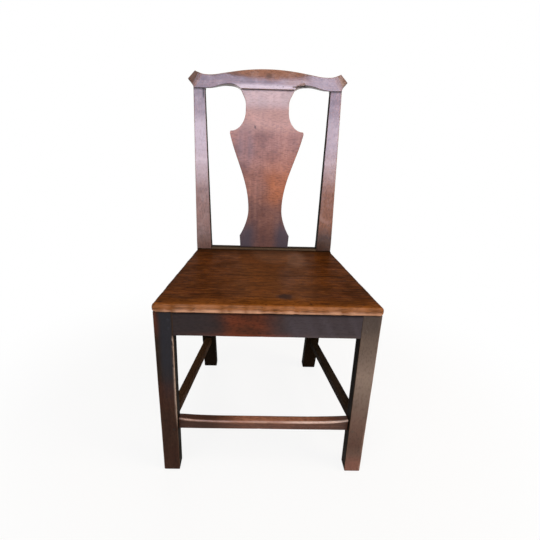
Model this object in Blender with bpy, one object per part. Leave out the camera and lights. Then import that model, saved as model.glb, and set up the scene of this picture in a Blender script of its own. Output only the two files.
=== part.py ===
"""Splat back side chair: a solid board seat on a pegged mortise and tenon frame.

Front is -Y, right is +X, up is +Z, and sizes are metres. Each piece is one object. Joints are real:
a tenon and its mortise take their size and place from the same named values plus a clearance.
While the pieces are made, y = 0 is the front of the front legs. At the end one empty carries them all,
so that the origin is on the floor at the middle of the chair.
"""
import math

import bmesh
import bpy
from mathutils import Vector

# Driving sizes of the whole chair
SEAT_HEIGHT = 0.445
FRONT_WIDTH = 0.488
BACK_WIDTH = 0.402
TOP_WIDTH = 0.424
FOOT_WIDTH = 0.386
SEAT_DEPTH = 0.405
BACK_LENGTH = 0.459
BACK_RAKE = math.radians(12.0)
BACK_BEND = 0.040

# Clearances
GAP = 0.0003
FIT = 0.0003
ROOT = 0.003

# Front legs
LEG_WIDTH = 0.041
LEG_DEPTH = 0.042
LEG_TAPER = 0.003
LEG_CHAMFER = 0.006
LEG_ARRIS = 0.0025

# Back posts
POST_WIDTH = 0.0435
POST_TOP_WIDTH = 0.033
POST_FOOT_WIDTH = 0.042
POST_DEPTH = 0.034
POST_TOP_DEPTH = 0.023
FOOT_KICK = 0.058
KICK_CURVE = 1.7
POST_ARRIS = 0.0020

# Seat rails
RAIL_HEIGHT = 0.056
RAIL_THICKNESS = 0.022
RAIL_SETBACK = 0.0005
SIDE_RAIL_SETBACK = 0.005
BACK_RAIL_SETBACK = 0.006
RAIL_ARRIS = 0.0015

# Seat boards
SEAT_THICKNESS = 0.019
SEAT_JOINT = 0.187
SEAT_LIP = 0.005
SEAT_SIDE_LIP = 0.0025
SEAT_TONGUE = 0.031
SEAT_CORNER = 0.010
SEAT_ROUND = 0.007

# Stretchers
FRONT_STRETCHER_LOW = 0.111
FRONT_STRETCHER_HEIGHT = 0.029
FRONT_STRETCHER_THICKNESS = 0.0195
FRONT_STRETCHER_SETBACK = 0.0165
FOOT_WEAR = 0.005
BACK_WEAR_SHARE = 0.6
SIDE_STRETCHER_LOW = 0.106
SIDE_STRETCHER_HEIGHT = 0.022
SIDE_STRETCHER_THICKNESS = 0.020
SIDE_STRETCHER_SETBACK = 0.006
BACK_STRETCHER_LOW = 0.150
BACK_STRETCHER_HEIGHT = 0.024
BACK_STRETCHER_THICKNESS = 0.018
STRETCHER_ARRIS = 0.0020

# Tenons
TENON_THICKNESS = 0.009
TENON_SHOULDER = 0.008
STRETCHER_SHOULDER = 0.005
STRETCHER_TENON_THICKNESS = 0.008
FRONT_TENON = 0.020
SIDE_TENON = 0.023
BACK_TENON = 0.018
STRETCHER_TENON = 0.017
CREST_TENON = 0.026
CREST_TENON_WIDTH = 0.018

# Shoe and splat
SHOE_HEIGHT = 0.0075
SHOE_MOULDING = 0.005
SHOE_SETBACK = 0.0005
SHOE_DEPTH = 0.023
SPLAT_THICKNESS = 0.010
SPLAT_FOOT_SETBACK = 0.010
SPLAT_HEAD_SETBACK = 0.004
SPLAT_ARRIS = 0.0010
SPLAT_TENON_THICKNESS = 0.007
SPLAT_TENON_SHOULDER = 0.010
SPLAT_FOOT_TENON = 0.0055
SPLAT_HEAD_TENON = 0.014
SPLAT_HEAD_RISE = 0.002
SPLAT_HEAD_HALF = 0.077
SPLAT_NECK_HALF = 0.0622
SPLAT_SHOULDER_HALF = 0.107
SPLAT_WAIST_HALF = 0.0496
SPLAT_BASE_HALF = 0.0742
SPLAT_FOOT_HALF = 0.0715
SPLAT_TIP_ROUND = 0.0025
SPLAT_STEPS = 7

# Places up the splat, as shares of the back's length
SPLAT_BASE_SHARE = 0.096
SPLAT_WAIST_SHARE = 0.262
SPLAT_SHOULDER_SHARE = 0.737
SPLAT_LIP_SHARE = 0.754
SPLAT_NECK_SHARE = 0.876
SPLAT_COLLAR_SHARE = 0.911

# Crest rail, with heights measured up from its joint on the posts
CREST_THICKNESS = 0.023
CREST_CENTRE = 0.0585
CREST_DIP = 0.0378
CREST_DIP_SHARE = 0.78
CREST_ARCH = 0.013
CREST_ARCH_SHARE = 0.52
CREST_UNDERCUT = 0.007
CREST_STOP = 0.004
CREST_ROLL = 0.008
CREST_ROLL_SHARE = 0.62
CREST_ROLL_START_SHARE = 0.35
CREST_ROLL_STEPS = 5
CREST_ARRIS = 0.0020
EAR_REACH = 0.0165
EAR_LOW = 0.027
EAR_TOP = 0.0495
EAR_TOP_INSET = 0.0035
EAR_ROLL = 0.007
EAR_ROLL_COLUMNS = 3

# Corner braces
BRACE_NEAR = 0.030
BRACE_FAR = 0.055
BRACE_HEIGHT = 0.022
BRACE_DROP = 0.005

# Pegs and nails
PEG_RADIUS = 0.0035
PEG_PROUD = 0.0004
PEG_BEYOND = 0.003
ROD_SIDES = 16
NAIL_LENGTH = 0.042
NAIL_HEAD_RADIUS = 0.0045
NAIL_CROWN_RADIUS = 0.0027
NAIL_HEAD_DEPTH = 0.0018
NAIL_NECK_RADIUS = 0.0022
NAIL_TIP_RADIUS = 0.0008
NAIL_SUNK = 0.0003
NAIL_SIDES = 8
FRONT_NAIL_SHARES = (0.18, 0.39)
SIDE_NAIL_SHARES = (0.33, 0.72)

# Levels and faces that follow from the sizes above
SEAT_UNDER = SEAT_HEIGHT - SEAT_THICKNESS
RAIL_TOP = SEAT_UNDER - GAP
RAIL_BOTTOM = RAIL_TOP - RAIL_HEIGHT
LEG_INNER = FRONT_WIDTH / 2 - LEG_WIDTH
BEND_RADIUS = BACK_BEND / BACK_RAKE
BEND_END_Y = SEAT_DEPTH + BEND_RADIUS * (1 - math.cos(BACK_RAKE))
BEND_END_Z = SEAT_HEIGHT + BEND_RADIUS * math.sin(BACK_RAKE)
JOINT_Z = BEND_END_Z + (BACK_LENGTH - BACK_BEND) * math.cos(BACK_RAKE)
SHOE_TOP = SEAT_HEIGHT + SHOE_HEIGHT
SPLAT_TOP = BACK_LENGTH + SPLAT_HEAD_RISE
SIDES = {"left": -1, "right": 1}


def linear_colour(hex_text):
    """Turns an sRGB hex colour into the linear values that a shader takes."""
    values = []
    for place in (0, 2, 4):
        value = int(hex_text[place:place + 2], 16) / 255
        values.append(value / 12.92 if value <= 0.04045 else ((value + 0.055) / 1.055) ** 2.4)
    return (*values, 1.0)


def finish(name, hex_text, roughness, metallic=0.0):
    """A plain Principled material."""
    material = bpy.data.materials.new(name)
    material.use_nodes = True
    shader = material.node_tree.nodes["Principled BSDF"]
    shader.inputs["Base Color"].default_value = linear_colour(hex_text)
    shader.inputs["Roughness"].default_value = roughness
    shader.inputs["Metallic"].default_value = metallic
    return material


def between(value, points):
    """Reads a chain of straight lines, given as (place, value) pairs, at one place."""
    for (start, first), (end, last) in zip(points, points[1:]):
        if value <= end:
            break
    return first + (last - first) * (value - start) / (end - start)


def bezier(first, pull_first, pull_last, last, steps):
    """Points along a cubic curve, without the last one."""
    points = []
    for step in range(steps):
        t = step / steps
        weights = ((1 - t) ** 3, 3 * t * (1 - t) ** 2, 3 * t * t * (1 - t), t ** 3)
        corners = (first, pull_first, pull_last, last)
        points.append(tuple(sum(w * c[axis] for w, c in zip(weights, corners)) for axis in (0, 1)))
    return points


def loft(rings, arris=0.0, round_ends=(), segments=2):
    """A closed body through rings of points, with its long arrises and chosen end rims rounded."""
    body = bmesh.new()
    loops = [[body.verts.new(point) for point in ring] for ring in rings]
    count = len(loops[0])
    long_edges = []
    for near, far in zip(loops, loops[1:]):
        for place in range(count):
            following = (place + 1) % count
            body.faces.new((near[place], near[following], far[following], far[place]))
        long_edges += [body.edges.get(pair) for pair in zip(near, far)]
    body.faces.new(loops[0][::-1])
    body.faces.new(loops[-1])
    bmesh.ops.recalc_face_normals(body, faces=body.faces)
    if arris:
        least_angle = math.radians(25)
        chosen = [edge for edge in long_edges if edge.calc_face_angle() > least_angle]
        for end in round_ends:
            chosen += [edge for edge in body.edges if set(edge.verts) <= set(loops[end])]
        bmesh.ops.bevel(body, geom=list(set(chosen)), offset=arris, segments=segments, profile=0.5,
                        affect="EDGES", clamp_overlap=True)
    return body


def named(body, name, material=None):
    """Puts a body into the scene as a named object."""
    mesh = bpy.data.meshes.new(name)
    body.to_mesh(mesh)
    body.free()
    item = bpy.data.objects.new(name, mesh)
    bpy.context.collection.objects.link(item)
    if material:
        mesh.materials.append(material)
    return item


def combine(piece, body, operation):
    """Adds a body to a piece, or takes it away, and keeps the result as the piece's mesh."""
    tool = named(body, "tool")
    change = piece.modifiers.new(operation, "BOOLEAN")
    change.operation = operation
    change.solver = "EXACT"
    change.object = tool
    graph = bpy.context.evaluated_depsgraph_get()
    shape = bpy.data.meshes.new_from_object(piece.evaluated_get(graph))
    piece.modifiers.remove(change)
    piece.data = shape
    bpy.data.objects.remove(tool)


def add(piece, body):
    """Joins a body to a piece."""
    combine(piece, body, "UNION")


def take(piece, body):
    """Cuts a body out of a piece."""
    combine(piece, body, "DIFFERENCE")


def plan_prism(outline, low, high, **rounding):
    """An upright body over a plan outline of (x, y) points."""
    rings = [[(x, y, z) for x, y in outline] for z in (low, high)]
    return loft(rings, **rounding)


def box(x_range, y_range, z_range, grow=0.0):
    """A square box between two places on each axis, grown on every side."""
    low_x, high_x = min(x_range) - grow, max(x_range) + grow
    low_y, high_y = min(y_range) - grow, max(y_range) + grow
    outline = [(low_x, low_y), (high_x, low_y), (high_x, high_y), (low_x, high_y)]
    return plan_prism(outline, min(z_range) - grow, max(z_range) + grow)


def rod(start, end, start_radius, end_radius=None, sides=ROD_SIDES):
    """A round bar between two points."""
    axis = Vector(end) - Vector(start)
    turn = axis.to_track_quat("Z", "Y")
    rings = []
    for centre, radius in ((start, start_radius), (end, end_radius or start_radius)):
        angles = [2 * math.pi * side / sides for side in range(sides)]
        spokes = [Vector((radius * math.cos(a), radius * math.sin(a), 0.0)) for a in angles]
        rings.append([Vector(centre) + turn @ spoke for spoke in spokes])
    return loft(rings)


def on_back(x, height, depth):
    """A place on the raked back: height along the rake from the seat, depth behind the posts' face."""
    along = height - BACK_BEND
    y = BEND_END_Y + along * math.sin(BACK_RAKE) + depth * math.cos(BACK_RAKE)
    z = BEND_END_Z + along * math.cos(BACK_RAKE) - depth * math.sin(BACK_RAKE)
    return (x, y, z)


def height_on_back(z, depth):
    """The height along the rake of a place at level z."""
    return BACK_BEND + (z - BEND_END_Z + depth * math.sin(BACK_RAKE)) / math.cos(BACK_RAKE)


def back_box(x_range, height_range, depth_range, grow=0.0):
    """A box that is square to the raked back."""
    rings = []
    for height in (min(height_range) - grow, max(height_range) + grow):
        low_x, high_x = min(x_range) - grow, max(x_range) + grow
        near, far = min(depth_range) - grow, max(depth_range) + grow
        corners = ((low_x, near), (high_x, near), (high_x, far), (low_x, far))
        rings.append([on_back(x, height, depth) for x, depth in corners])
    return loft(rings)


def post_outer(z):
    """Half the width over the back posts at one level."""
    return between(z, ((0, FOOT_WIDTH / 2), (SEAT_HEIGHT, BACK_WIDTH / 2), (JOINT_Z, TOP_WIDTH / 2)))


def post_inner(z):
    """Half the clear width between the back posts at one level."""
    widths = ((0, POST_FOOT_WIDTH), (SEAT_HEIGHT, POST_WIDTH), (JOINT_Z, POST_TOP_WIDTH))
    return post_outer(z) - between(z, widths)


def post_front(z):
    """Where the front of a back post is, at a level up to the seat."""
    drop = max(0.0, (RAIL_BOTTOM - z) / RAIL_BOTTOM)
    return SEAT_DEPTH + FOOT_KICK * drop ** KICK_CURVE


def side_line(y, setback, thickness, back_level):
    """Half the distance between the middles of the two side rails or side stretchers at one depth."""
    front = FRONT_WIDTH / 2 - setback - thickness / 2
    back = post_outer(back_level) - setback - thickness / 2
    return between(y, ((LEG_DEPTH, front), (SEAT_DEPTH, back)))


def rail_line(y):
    """The middle line of the side seat rails."""
    return side_line(y, SIDE_RAIL_SETBACK, RAIL_THICKNESS, RAIL_TOP)


def stretcher_line(y):
    """The middle line of the side stretchers."""
    return side_line(y, SIDE_STRETCHER_SETBACK, SIDE_STRETCHER_THICKNESS, SIDE_STRETCHER_LOW)


def front_stretcher_middle():
    """The depth at which the front stretcher's tenons lie."""
    return FRONT_STRETCHER_SETBACK + FRONT_STRETCHER_THICKNESS / 2


def back_stretcher_middle():
    """The depth at which the back stretcher's tenons lie."""
    return post_front(BACK_STRETCHER_LOW + BACK_STRETCHER_HEIGHT / 2) + POST_DEPTH / 2


def cross_tenon(side, shoulder, length, y_middle, thickness, z_range, grow=0.0):
    """The tenon at one end of a rail that runs left to right, or its mortise."""
    x_range = (side * (shoulder - ROOT), side * (shoulder + length))
    y_range = (y_middle - thickness / 2, y_middle + thickness / 2)
    return box(x_range, y_range, z_range, grow)


def slanted_tenon(side, line, shoulder, end, thickness, z_range, grow=0.0):
    """The tenon at one end of a side rail, in line with the rail, or its mortise."""
    start = shoulder + math.copysign(ROOT, shoulder - end)
    stop = end + math.copysign(grow, end - shoulder)
    half = thickness / 2 + grow
    outline = []
    for y, offset in ((start, -half), (start, half), (stop, half), (stop, -half)):
        outline.append((side * (line(y) + offset), y))
    return plan_prism(outline, z_range[0] - grow, z_range[1] + grow)


def rail_tenon_levels():
    """Top and bottom of the tenons of the seat rails."""
    return (RAIL_BOTTOM + TENON_SHOULDER, RAIL_TOP - TENON_SHOULDER)


def stretcher_tenon_levels(low, height):
    """Top and bottom of the tenons of a stretcher."""
    return (low + STRETCHER_SHOULDER, low + height - STRETCHER_SHOULDER)


def front_rail_tenon(side, grow=0.0):
    """Tenon of the front seat rail in a front leg."""
    middle = RAIL_SETBACK + RAIL_THICKNESS / 2
    return cross_tenon(side, LEG_INNER, FRONT_TENON, middle, TENON_THICKNESS, rail_tenon_levels(), grow)


def back_rail_tenon(side, grow=0.0):
    """Tenon of the back seat rail in a back post."""
    middle = SEAT_DEPTH + BACK_RAIL_SETBACK + RAIL_THICKNESS / 2
    shoulder = post_inner((RAIL_BOTTOM + RAIL_TOP) / 2)
    return cross_tenon(side, shoulder, BACK_TENON, middle, TENON_THICKNESS, rail_tenon_levels(), grow)


def side_rail_tenon(side, end, grow=0.0):
    """Tenon of a side seat rail in a front leg or a back post."""
    shoulder, stop = LEG_DEPTH, LEG_DEPTH - SIDE_TENON
    if end == "back":
        shoulder, stop = SEAT_DEPTH, SEAT_DEPTH + SIDE_TENON
    return slanted_tenon(side, rail_line, shoulder, stop, TENON_THICKNESS, rail_tenon_levels(), grow)


def front_stretcher_tenon(side, grow=0.0):
    """Tenon of the front stretcher in a front leg."""
    levels = stretcher_tenon_levels(FRONT_STRETCHER_LOW, FRONT_STRETCHER_HEIGHT - FOOT_WEAR)
    return cross_tenon(side, LEG_INNER, STRETCHER_TENON, front_stretcher_middle(),
                       STRETCHER_TENON_THICKNESS, levels, grow)


def side_stretcher_tenon(side, end, grow=0.0):
    """Tenon of a side stretcher in a front leg or a back post."""
    levels = stretcher_tenon_levels(SIDE_STRETCHER_LOW, SIDE_STRETCHER_HEIGHT)
    shoulder, stop = LEG_DEPTH, LEG_DEPTH - STRETCHER_TENON
    if end == "back":
        shoulder = post_front((levels[0] + levels[1]) / 2)
        stop = shoulder + STRETCHER_TENON
    return slanted_tenon(side, stretcher_line, shoulder, stop, STRETCHER_TENON_THICKNESS, levels, grow)


def back_stretcher_tenon(side, grow=0.0):
    """Tenon of the back stretcher in a back post."""
    levels = stretcher_tenon_levels(BACK_STRETCHER_LOW, BACK_STRETCHER_HEIGHT)
    shoulder = post_inner((levels[0] + levels[1]) / 2)
    return cross_tenon(side, shoulder, STRETCHER_TENON, back_stretcher_middle(),
                       STRETCHER_TENON_THICKNESS, levels, grow)


def crest_tenon(side, grow=0.0):
    """Tenon on top of a back post, in the crest rail."""
    middle = side * (TOP_WIDTH / 2 - POST_TOP_WIDTH / 2)
    x_range = (middle - CREST_TENON_WIDTH / 2, middle + CREST_TENON_WIDTH / 2)
    depth = POST_TOP_DEPTH / 2
    depth_range = (depth - TENON_THICKNESS / 2, depth + TENON_THICKNESS / 2)
    return back_box(x_range, (BACK_LENGTH - ROOT, BACK_LENGTH + CREST_TENON), depth_range, grow)


def splat_front(height):
    """Depth of the splat's front face, which leans forward from the shoe to the crest rail."""
    share = height / SPLAT_TOP
    return SPLAT_FOOT_SETBACK + (SPLAT_HEAD_SETBACK - SPLAT_FOOT_SETBACK) * share


def splat_tenon_depths(height):
    """Front and back of the splat's tenon at a height along the rake."""
    middle = splat_front(height) + SPLAT_THICKNESS / 2
    return (middle - SPLAT_TENON_THICKNESS / 2, middle + SPLAT_TENON_THICKNESS / 2)


def splat_head_tenon(grow=0.0):
    """Tenon at the top of the splat, in the crest rail."""
    half = SPLAT_HEAD_HALF - SPLAT_TENON_SHOULDER
    heights = (SPLAT_TOP - ROOT, SPLAT_TOP + SPLAT_HEAD_TENON)
    return back_box((-half, half), heights, splat_tenon_depths(SPLAT_TOP), grow)


def splat_foot_tenon(grow=0.0):
    """Tenon at the foot of the splat, in the shoe."""
    half = SPLAT_FOOT_HALF - SPLAT_TENON_SHOULDER + grow
    near, far = splat_tenon_depths(SHOE_HEIGHT)
    rings = []
    for z in (SHOE_TOP - SPLAT_FOOT_TENON - grow, SHOE_TOP + ROOT + grow):
        front = on_back(0, height_on_back(z, near), near)[1] - grow
        rear = on_back(0, height_on_back(z, far), far)[1] + grow
        rings.append([(-half, front, z), (half, front, z), (half, rear, z), (-half, rear, z)])
    return loft(rings)


def front_leg(name, side, material):
    """A square leg with rounded arrises, a chamfered inner back corner and its four mortises."""
    rings = []
    for z, taper in ((0.0, LEG_TAPER), (RAIL_TOP, 0.0)):
        outer = FRONT_WIDTH / 2 - taper
        section = [(LEG_INNER, 0.0), (outer, 0.0), (outer, LEG_DEPTH)]
        section += [(LEG_INNER + LEG_CHAMFER, LEG_DEPTH), (LEG_INNER, LEG_DEPTH - LEG_CHAMFER)]
        rings.append([(side * x, y, z) for x, y in section])
    leg = named(loft(rings, arris=LEG_ARRIS, round_ends=(0,)), name, material)
    take(leg, front_rail_tenon(side, FIT))
    take(leg, side_rail_tenon(side, "front", FIT))
    take(leg, front_stretcher_tenon(side, FIT))
    take(leg, side_stretcher_tenon(side, "front", FIT))
    return leg


def post_stations():
    """Places along the front of a back post, as (y, z, lean), from the foot to the crest's joint."""
    kick_steps = 9
    bend_steps = 4
    stations = []
    for step in range(kick_steps + 1):
        z = RAIL_BOTTOM * step / kick_steps
        stations.append((post_front(z), z, 0.0))
    for step in range(bend_steps + 1):
        lean = BACK_RAKE * step / bend_steps
        y = SEAT_DEPTH + BEND_RADIUS * (1 - math.cos(lean))
        z = SEAT_HEIGHT + BEND_RADIUS * math.sin(lean)
        stations.append((y, z, lean))
    top = on_back(0.0, BACK_LENGTH - GAP, 0.0)
    stations.append((top[1], top[2], BACK_RAKE))
    return stations


def back_post(name, side, material):
    """Rear leg and back upright in one curved piece, with its mortises and the crest's tenon."""
    depths = ((0, POST_DEPTH), (SEAT_HEIGHT, POST_DEPTH), (JOINT_Z, POST_TOP_DEPTH))
    rings = []
    for y, z, lean in post_stations():
        depth = between(z, depths)
        back_y = y + depth * math.cos(lean)
        back_z = z - depth * math.sin(lean)
        inner, outer = side * post_inner(z), side * post_outer(z)
        rings.append([(inner, y, z), (outer, y, z), (outer, back_y, back_z), (inner, back_y, back_z)])
    post = named(loft(rings, arris=POST_ARRIS, round_ends=(0,)), name, material)
    add(post, crest_tenon(side))
    take(post, back_rail_tenon(side, FIT))
    take(post, side_rail_tenon(side, "back", FIT))
    take(post, side_stretcher_tenon(side, "back", FIT))
    take(post, back_stretcher_tenon(side, FIT))
    return post


def cross_rail(y_range, z_range, half_width, arris):
    """A straight bar between left and right, its ends cut to follow the pieces that it meets."""
    front, back = y_range
    low, high = z_range
    section = ((front, low), (back, low), (back, high), (front, high))
    rings = [[(side * (half_width(z) - GAP), y, z) for y, z in section] for side in (-1, 1)]
    return loft(rings, arris=arris)


def front_seat_rail(material):
    """Front rail of the seat frame, flush with the legs."""
    depths = (RAIL_SETBACK, RAIL_SETBACK + RAIL_THICKNESS)
    body = cross_rail(depths, (RAIL_BOTTOM, RAIL_TOP), lambda z: LEG_INNER, RAIL_ARRIS)
    rail = named(body, "front_seat_rail", material)
    for side in SIDES.values():
        add(rail, front_rail_tenon(side))
    return rail


def back_seat_rail(material):
    """Back rail of the seat frame, between the posts."""
    front = SEAT_DEPTH + BACK_RAIL_SETBACK
    depths = (front, front + RAIL_THICKNESS)
    rail = named(cross_rail(depths, (RAIL_BOTTOM, RAIL_TOP), post_inner, RAIL_ARRIS),
                 "back_seat_rail", material)
    for side in SIDES.values():
        add(rail, back_rail_tenon(side))
    return rail


def side_bar(side, line, thickness, z_range, arris):
    """A straight bar from a front leg back to a post, its ends cut to lie on both."""
    low, high = z_range
    section = ((-thickness / 2, low), (thickness / 2, low), (thickness / 2, high), (-thickness / 2, high))
    rings = [[], []]
    for offset, z in section:
        front, back = LEG_DEPTH + GAP, post_front(z) - GAP
        rings[0].append((side * (line(front) + offset), front, z))
        rings[1].append((side * (line(back) + offset), back, z))
    return loft(rings, arris=arris)


def side_seat_rail(name, side, material):
    """Side rail of the seat frame."""
    body = side_bar(side, rail_line, RAIL_THICKNESS, (RAIL_BOTTOM, RAIL_TOP), RAIL_ARRIS)
    rail = named(body, name, material)
    for end in ("front", "back"):
        add(rail, side_rail_tenon(side, end))
    return rail


def side_stretcher(name, side, material):
    """Low bar between a front leg and a back post."""
    levels = (SIDE_STRETCHER_LOW, SIDE_STRETCHER_LOW + SIDE_STRETCHER_HEIGHT)
    body = side_bar(side, stretcher_line, SIDE_STRETCHER_THICKNESS, levels, STRETCHER_ARRIS)
    bar = named(body, name, material)
    for end in ("front", "back"):
        add(bar, side_stretcher_tenon(side, end))
    return bar


def front_stretcher(material):
    """Bar between the front legs, its top worn hollow by feet."""
    columns = 14
    half = LEG_INNER - GAP
    front = FRONT_STRETCHER_SETBACK
    back = front + FRONT_STRETCHER_THICKNESS
    low = FRONT_STRETCHER_LOW
    round_over = 2 * STRETCHER_ARRIS
    rings = []
    for column in range(columns + 1):
        x = half * (2 * column / columns - 1)
        wear = FOOT_WEAR * math.cos(math.pi / 2 * x / half)
        back_wear = BACK_WEAR_SHARE * wear
        top = low + FRONT_STRETCHER_HEIGHT
        section = ((front, low), (back, low), (back, top - back_wear),
                   ((front + back) / 2, top - (wear + back_wear) / 2),
                   (front + round_over, top - wear), (front, top - wear - round_over))
        rings.append([(x, y, z) for y, z in section])
    bar = named(loft(rings), "front_stretcher", material)
    for side in SIDES.values():
        add(bar, front_stretcher_tenon(side))
    return bar


def back_stretcher(material):
    """Bar between the rear legs, set higher than the side stretchers."""
    middle = back_stretcher_middle()
    depths = (middle - BACK_STRETCHER_THICKNESS / 2, middle + BACK_STRETCHER_THICKNESS / 2)
    levels = (BACK_STRETCHER_LOW, BACK_STRETCHER_LOW + BACK_STRETCHER_HEIGHT)
    bar = named(cross_rail(depths, levels, post_inner, STRETCHER_ARRIS), "back_stretcher", material)
    for side in SIDES.values():
        add(bar, back_stretcher_tenon(side))
    return bar


def seat_side(y):
    """Half the width of the seat boards at one depth."""
    front = FRONT_WIDTH / 2 + SEAT_SIDE_LIP
    back = BACK_WIDTH / 2 + SEAT_SIDE_LIP / 2
    return between(y, ((-SEAT_LIP, front), (SEAT_DEPTH, back)))


def seat_corner():
    """The rounded front right corner of the seat, from the side round to the front."""
    steps = 5
    tangent = (seat_side(-SEAT_LIP), -SEAT_LIP)
    points = []
    for step in range(steps + 1):
        angle = math.pi / 2 * step / steps
        y = tangent[1] + SEAT_CORNER * (1 - math.sin(angle))
        points.append((seat_side(y) - SEAT_CORNER * (1 - math.cos(angle)), y))
    return points


def seat_board(name, outline, last_round_y, material):
    """A seat board over half its plan outline, with the rims in front of one depth rounded."""
    mirrored = [(-x, y) for x, y in reversed(outline)]
    body = plan_prism(outline + mirrored, SEAT_UNDER, SEAT_HEIGHT)
    rims = []
    for edge in body.edges:
        level = edge.verts[0].co.z == edge.verts[1].co.z
        in_front = max(vertex.co.y for vertex in edge.verts) <= last_round_y
        across_joint = all(abs(vertex.co.y - SEAT_JOINT) < 2 * GAP for vertex in edge.verts)
        if level and in_front and not across_joint:
            rims.append(edge)
    bmesh.ops.bevel(body, geom=rims, offset=SEAT_ROUND, segments=3, profile=0.5, affect="EDGES",
                    clamp_overlap=True)
    return named(body, name, material)


def seat_board_front(material):
    """Front seat board, with the bullnose edge."""
    joint = SEAT_JOINT - GAP / 2
    outline = [(seat_side(joint), joint)] + seat_corner()
    outline.reverse()
    return seat_board("seat_board_front", outline, joint, material)


def seat_board_back(material):
    """Back seat board, notched round the posts and running back between them."""
    joint = SEAT_JOINT + GAP / 2
    notch = SEAT_DEPTH - GAP
    tongue = post_inner(SEAT_UNDER) - GAP
    outline = [(seat_side(joint), joint), (seat_side(notch), notch), (tongue, notch),
               (tongue, SEAT_DEPTH + SEAT_TONGUE)]
    return seat_board("seat_board_back", outline, notch, material)


def corner_brace(name, side, end, material):
    """A bar across an inner corner of the seat frame."""
    if end == "front":
        face = RAIL_SETBACK + RAIL_THICKNESS + GAP
        corner_x, corner_y, step = LEG_INNER, LEG_DEPTH, 1
    else:
        face = SEAT_DEPTH + BACK_RAIL_SETBACK - GAP
        corner_x, corner_y, step = post_inner(RAIL_TOP), SEAT_DEPTH, -1
    outline = [(corner_x - BRACE_FAR, face), (corner_x - BRACE_NEAR, face)]
    for reach in (BRACE_NEAR, BRACE_FAR):
        y = corner_y + step * reach
        outline.append((rail_line(y) - RAIL_THICKNESS / 2 - GAP, y))
    plan = [(side * x, y) for x, y in outline]
    top = RAIL_TOP - BRACE_DROP
    return named(plan_prism(plan, top - BRACE_HEIGHT, top), name, material)


def shoe(material):
    """Strip on the seat between the posts, moulded in front, with the splat's mortise."""
    front = SEAT_DEPTH + SHOE_SETBACK
    back = SEAT_DEPTH + SHOE_DEPTH
    low, high = SEAT_HEIGHT + GAP, SHOE_TOP
    mould_steps = 4
    section = [(back, high), (back, low), (front, low), (front, high - SHOE_MOULDING)]
    for step in range(1, mould_steps + 1):
        angle = math.pi / 2 * step / mould_steps
        y = front + SHOE_MOULDING * (1 - math.cos(angle))
        section.append((y, high - SHOE_MOULDING * (1 - math.sin(angle))))
    rings = [[(side * (post_inner(z) - GAP), y, z) for y, z in section] for side in (-1, 1)]
    strip = named(loft(rings), "shoe", material)
    take(strip, splat_foot_tenon(FIT))
    return strip


def splat_side():
    """Right side of the splat from its base to its head, as (x, height along the rake) points.

    The two pulls of each curve are shares of the stretch that the curve spans.
    """
    base, waist = BACK_LENGTH * SPLAT_BASE_SHARE, BACK_LENGTH * SPLAT_WAIST_SHARE
    shoulder, lip = BACK_LENGTH * SPLAT_SHOULDER_SHARE, BACK_LENGTH * SPLAT_LIP_SHARE
    neck, collar = BACK_LENGTH * SPLAT_NECK_SHARE, BACK_LENGTH * SPLAT_COLLAR_SHARE
    head = SPLAT_TOP - GAP
    tip = SPLAT_SHOULDER_HALF - SPLAT_TIP_ROUND
    flare = SPLAT_BASE_HALF - SPLAT_WAIST_HALF
    swell = SPLAT_SHOULDER_HALF - SPLAT_WAIST_HALF
    hollow = tip - SPLAT_NECK_HALF
    spread = SPLAT_HEAD_HALF - SPLAT_NECK_HALF
    points = bezier((SPLAT_BASE_HALF, base),
                    (SPLAT_BASE_HALF - 0.40 * flare, base + 0.20 * (waist - base)),
                    (SPLAT_WAIST_HALF, waist - 0.37 * (waist - base)),
                    (SPLAT_WAIST_HALF, waist), SPLAT_STEPS)
    points += bezier((SPLAT_WAIST_HALF, waist),
                     (SPLAT_WAIST_HALF, waist + 0.38 * (shoulder - waist)),
                     (SPLAT_SHOULDER_HALF - 0.31 * swell, shoulder - 0.34 * (shoulder - waist)),
                     (SPLAT_SHOULDER_HALF, shoulder), 2 * SPLAT_STEPS)
    points.append((SPLAT_SHOULDER_HALF, shoulder))
    points += bezier((tip, lip), (tip - 0.55 * hollow, lip),
                     (SPLAT_NECK_HALF, neck - 0.55 * (neck - lip)),
                     (SPLAT_NECK_HALF, neck), SPLAT_STEPS)
    points.append((SPLAT_NECK_HALF, neck))
    points += bezier((SPLAT_NECK_HALF, collar),
                     (SPLAT_NECK_HALF, collar + 0.43 * (head - collar)),
                     (SPLAT_HEAD_HALF - 0.44 * spread, head - 0.40 * (head - collar)),
                     (SPLAT_HEAD_HALF, head), SPLAT_STEPS)
    points.append((SPLAT_HEAD_HALF, head))
    return points


def splat(material):
    """Vase shaped back board, with a tenon at its head and one at its foot."""
    side = splat_side()
    rings = []
    for behind in (0.0, SPLAT_THICKNESS):
        foot = height_on_back(SHOE_TOP + GAP, splat_front(SHOE_HEIGHT) + behind)
        right = [(SPLAT_FOOT_HALF, foot)] + side
        outline = right + [(-x, height) for x, height in reversed(right)]
        rings.append([on_back(x, height, splat_front(height) + behind) for x, height in outline])
    board = named(loft(rings, arris=SPLAT_ARRIS, round_ends=(0, -1), segments=1), "splat", material)
    add(board, splat_head_tenon())
    add(board, splat_foot_tenon())
    return board


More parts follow.
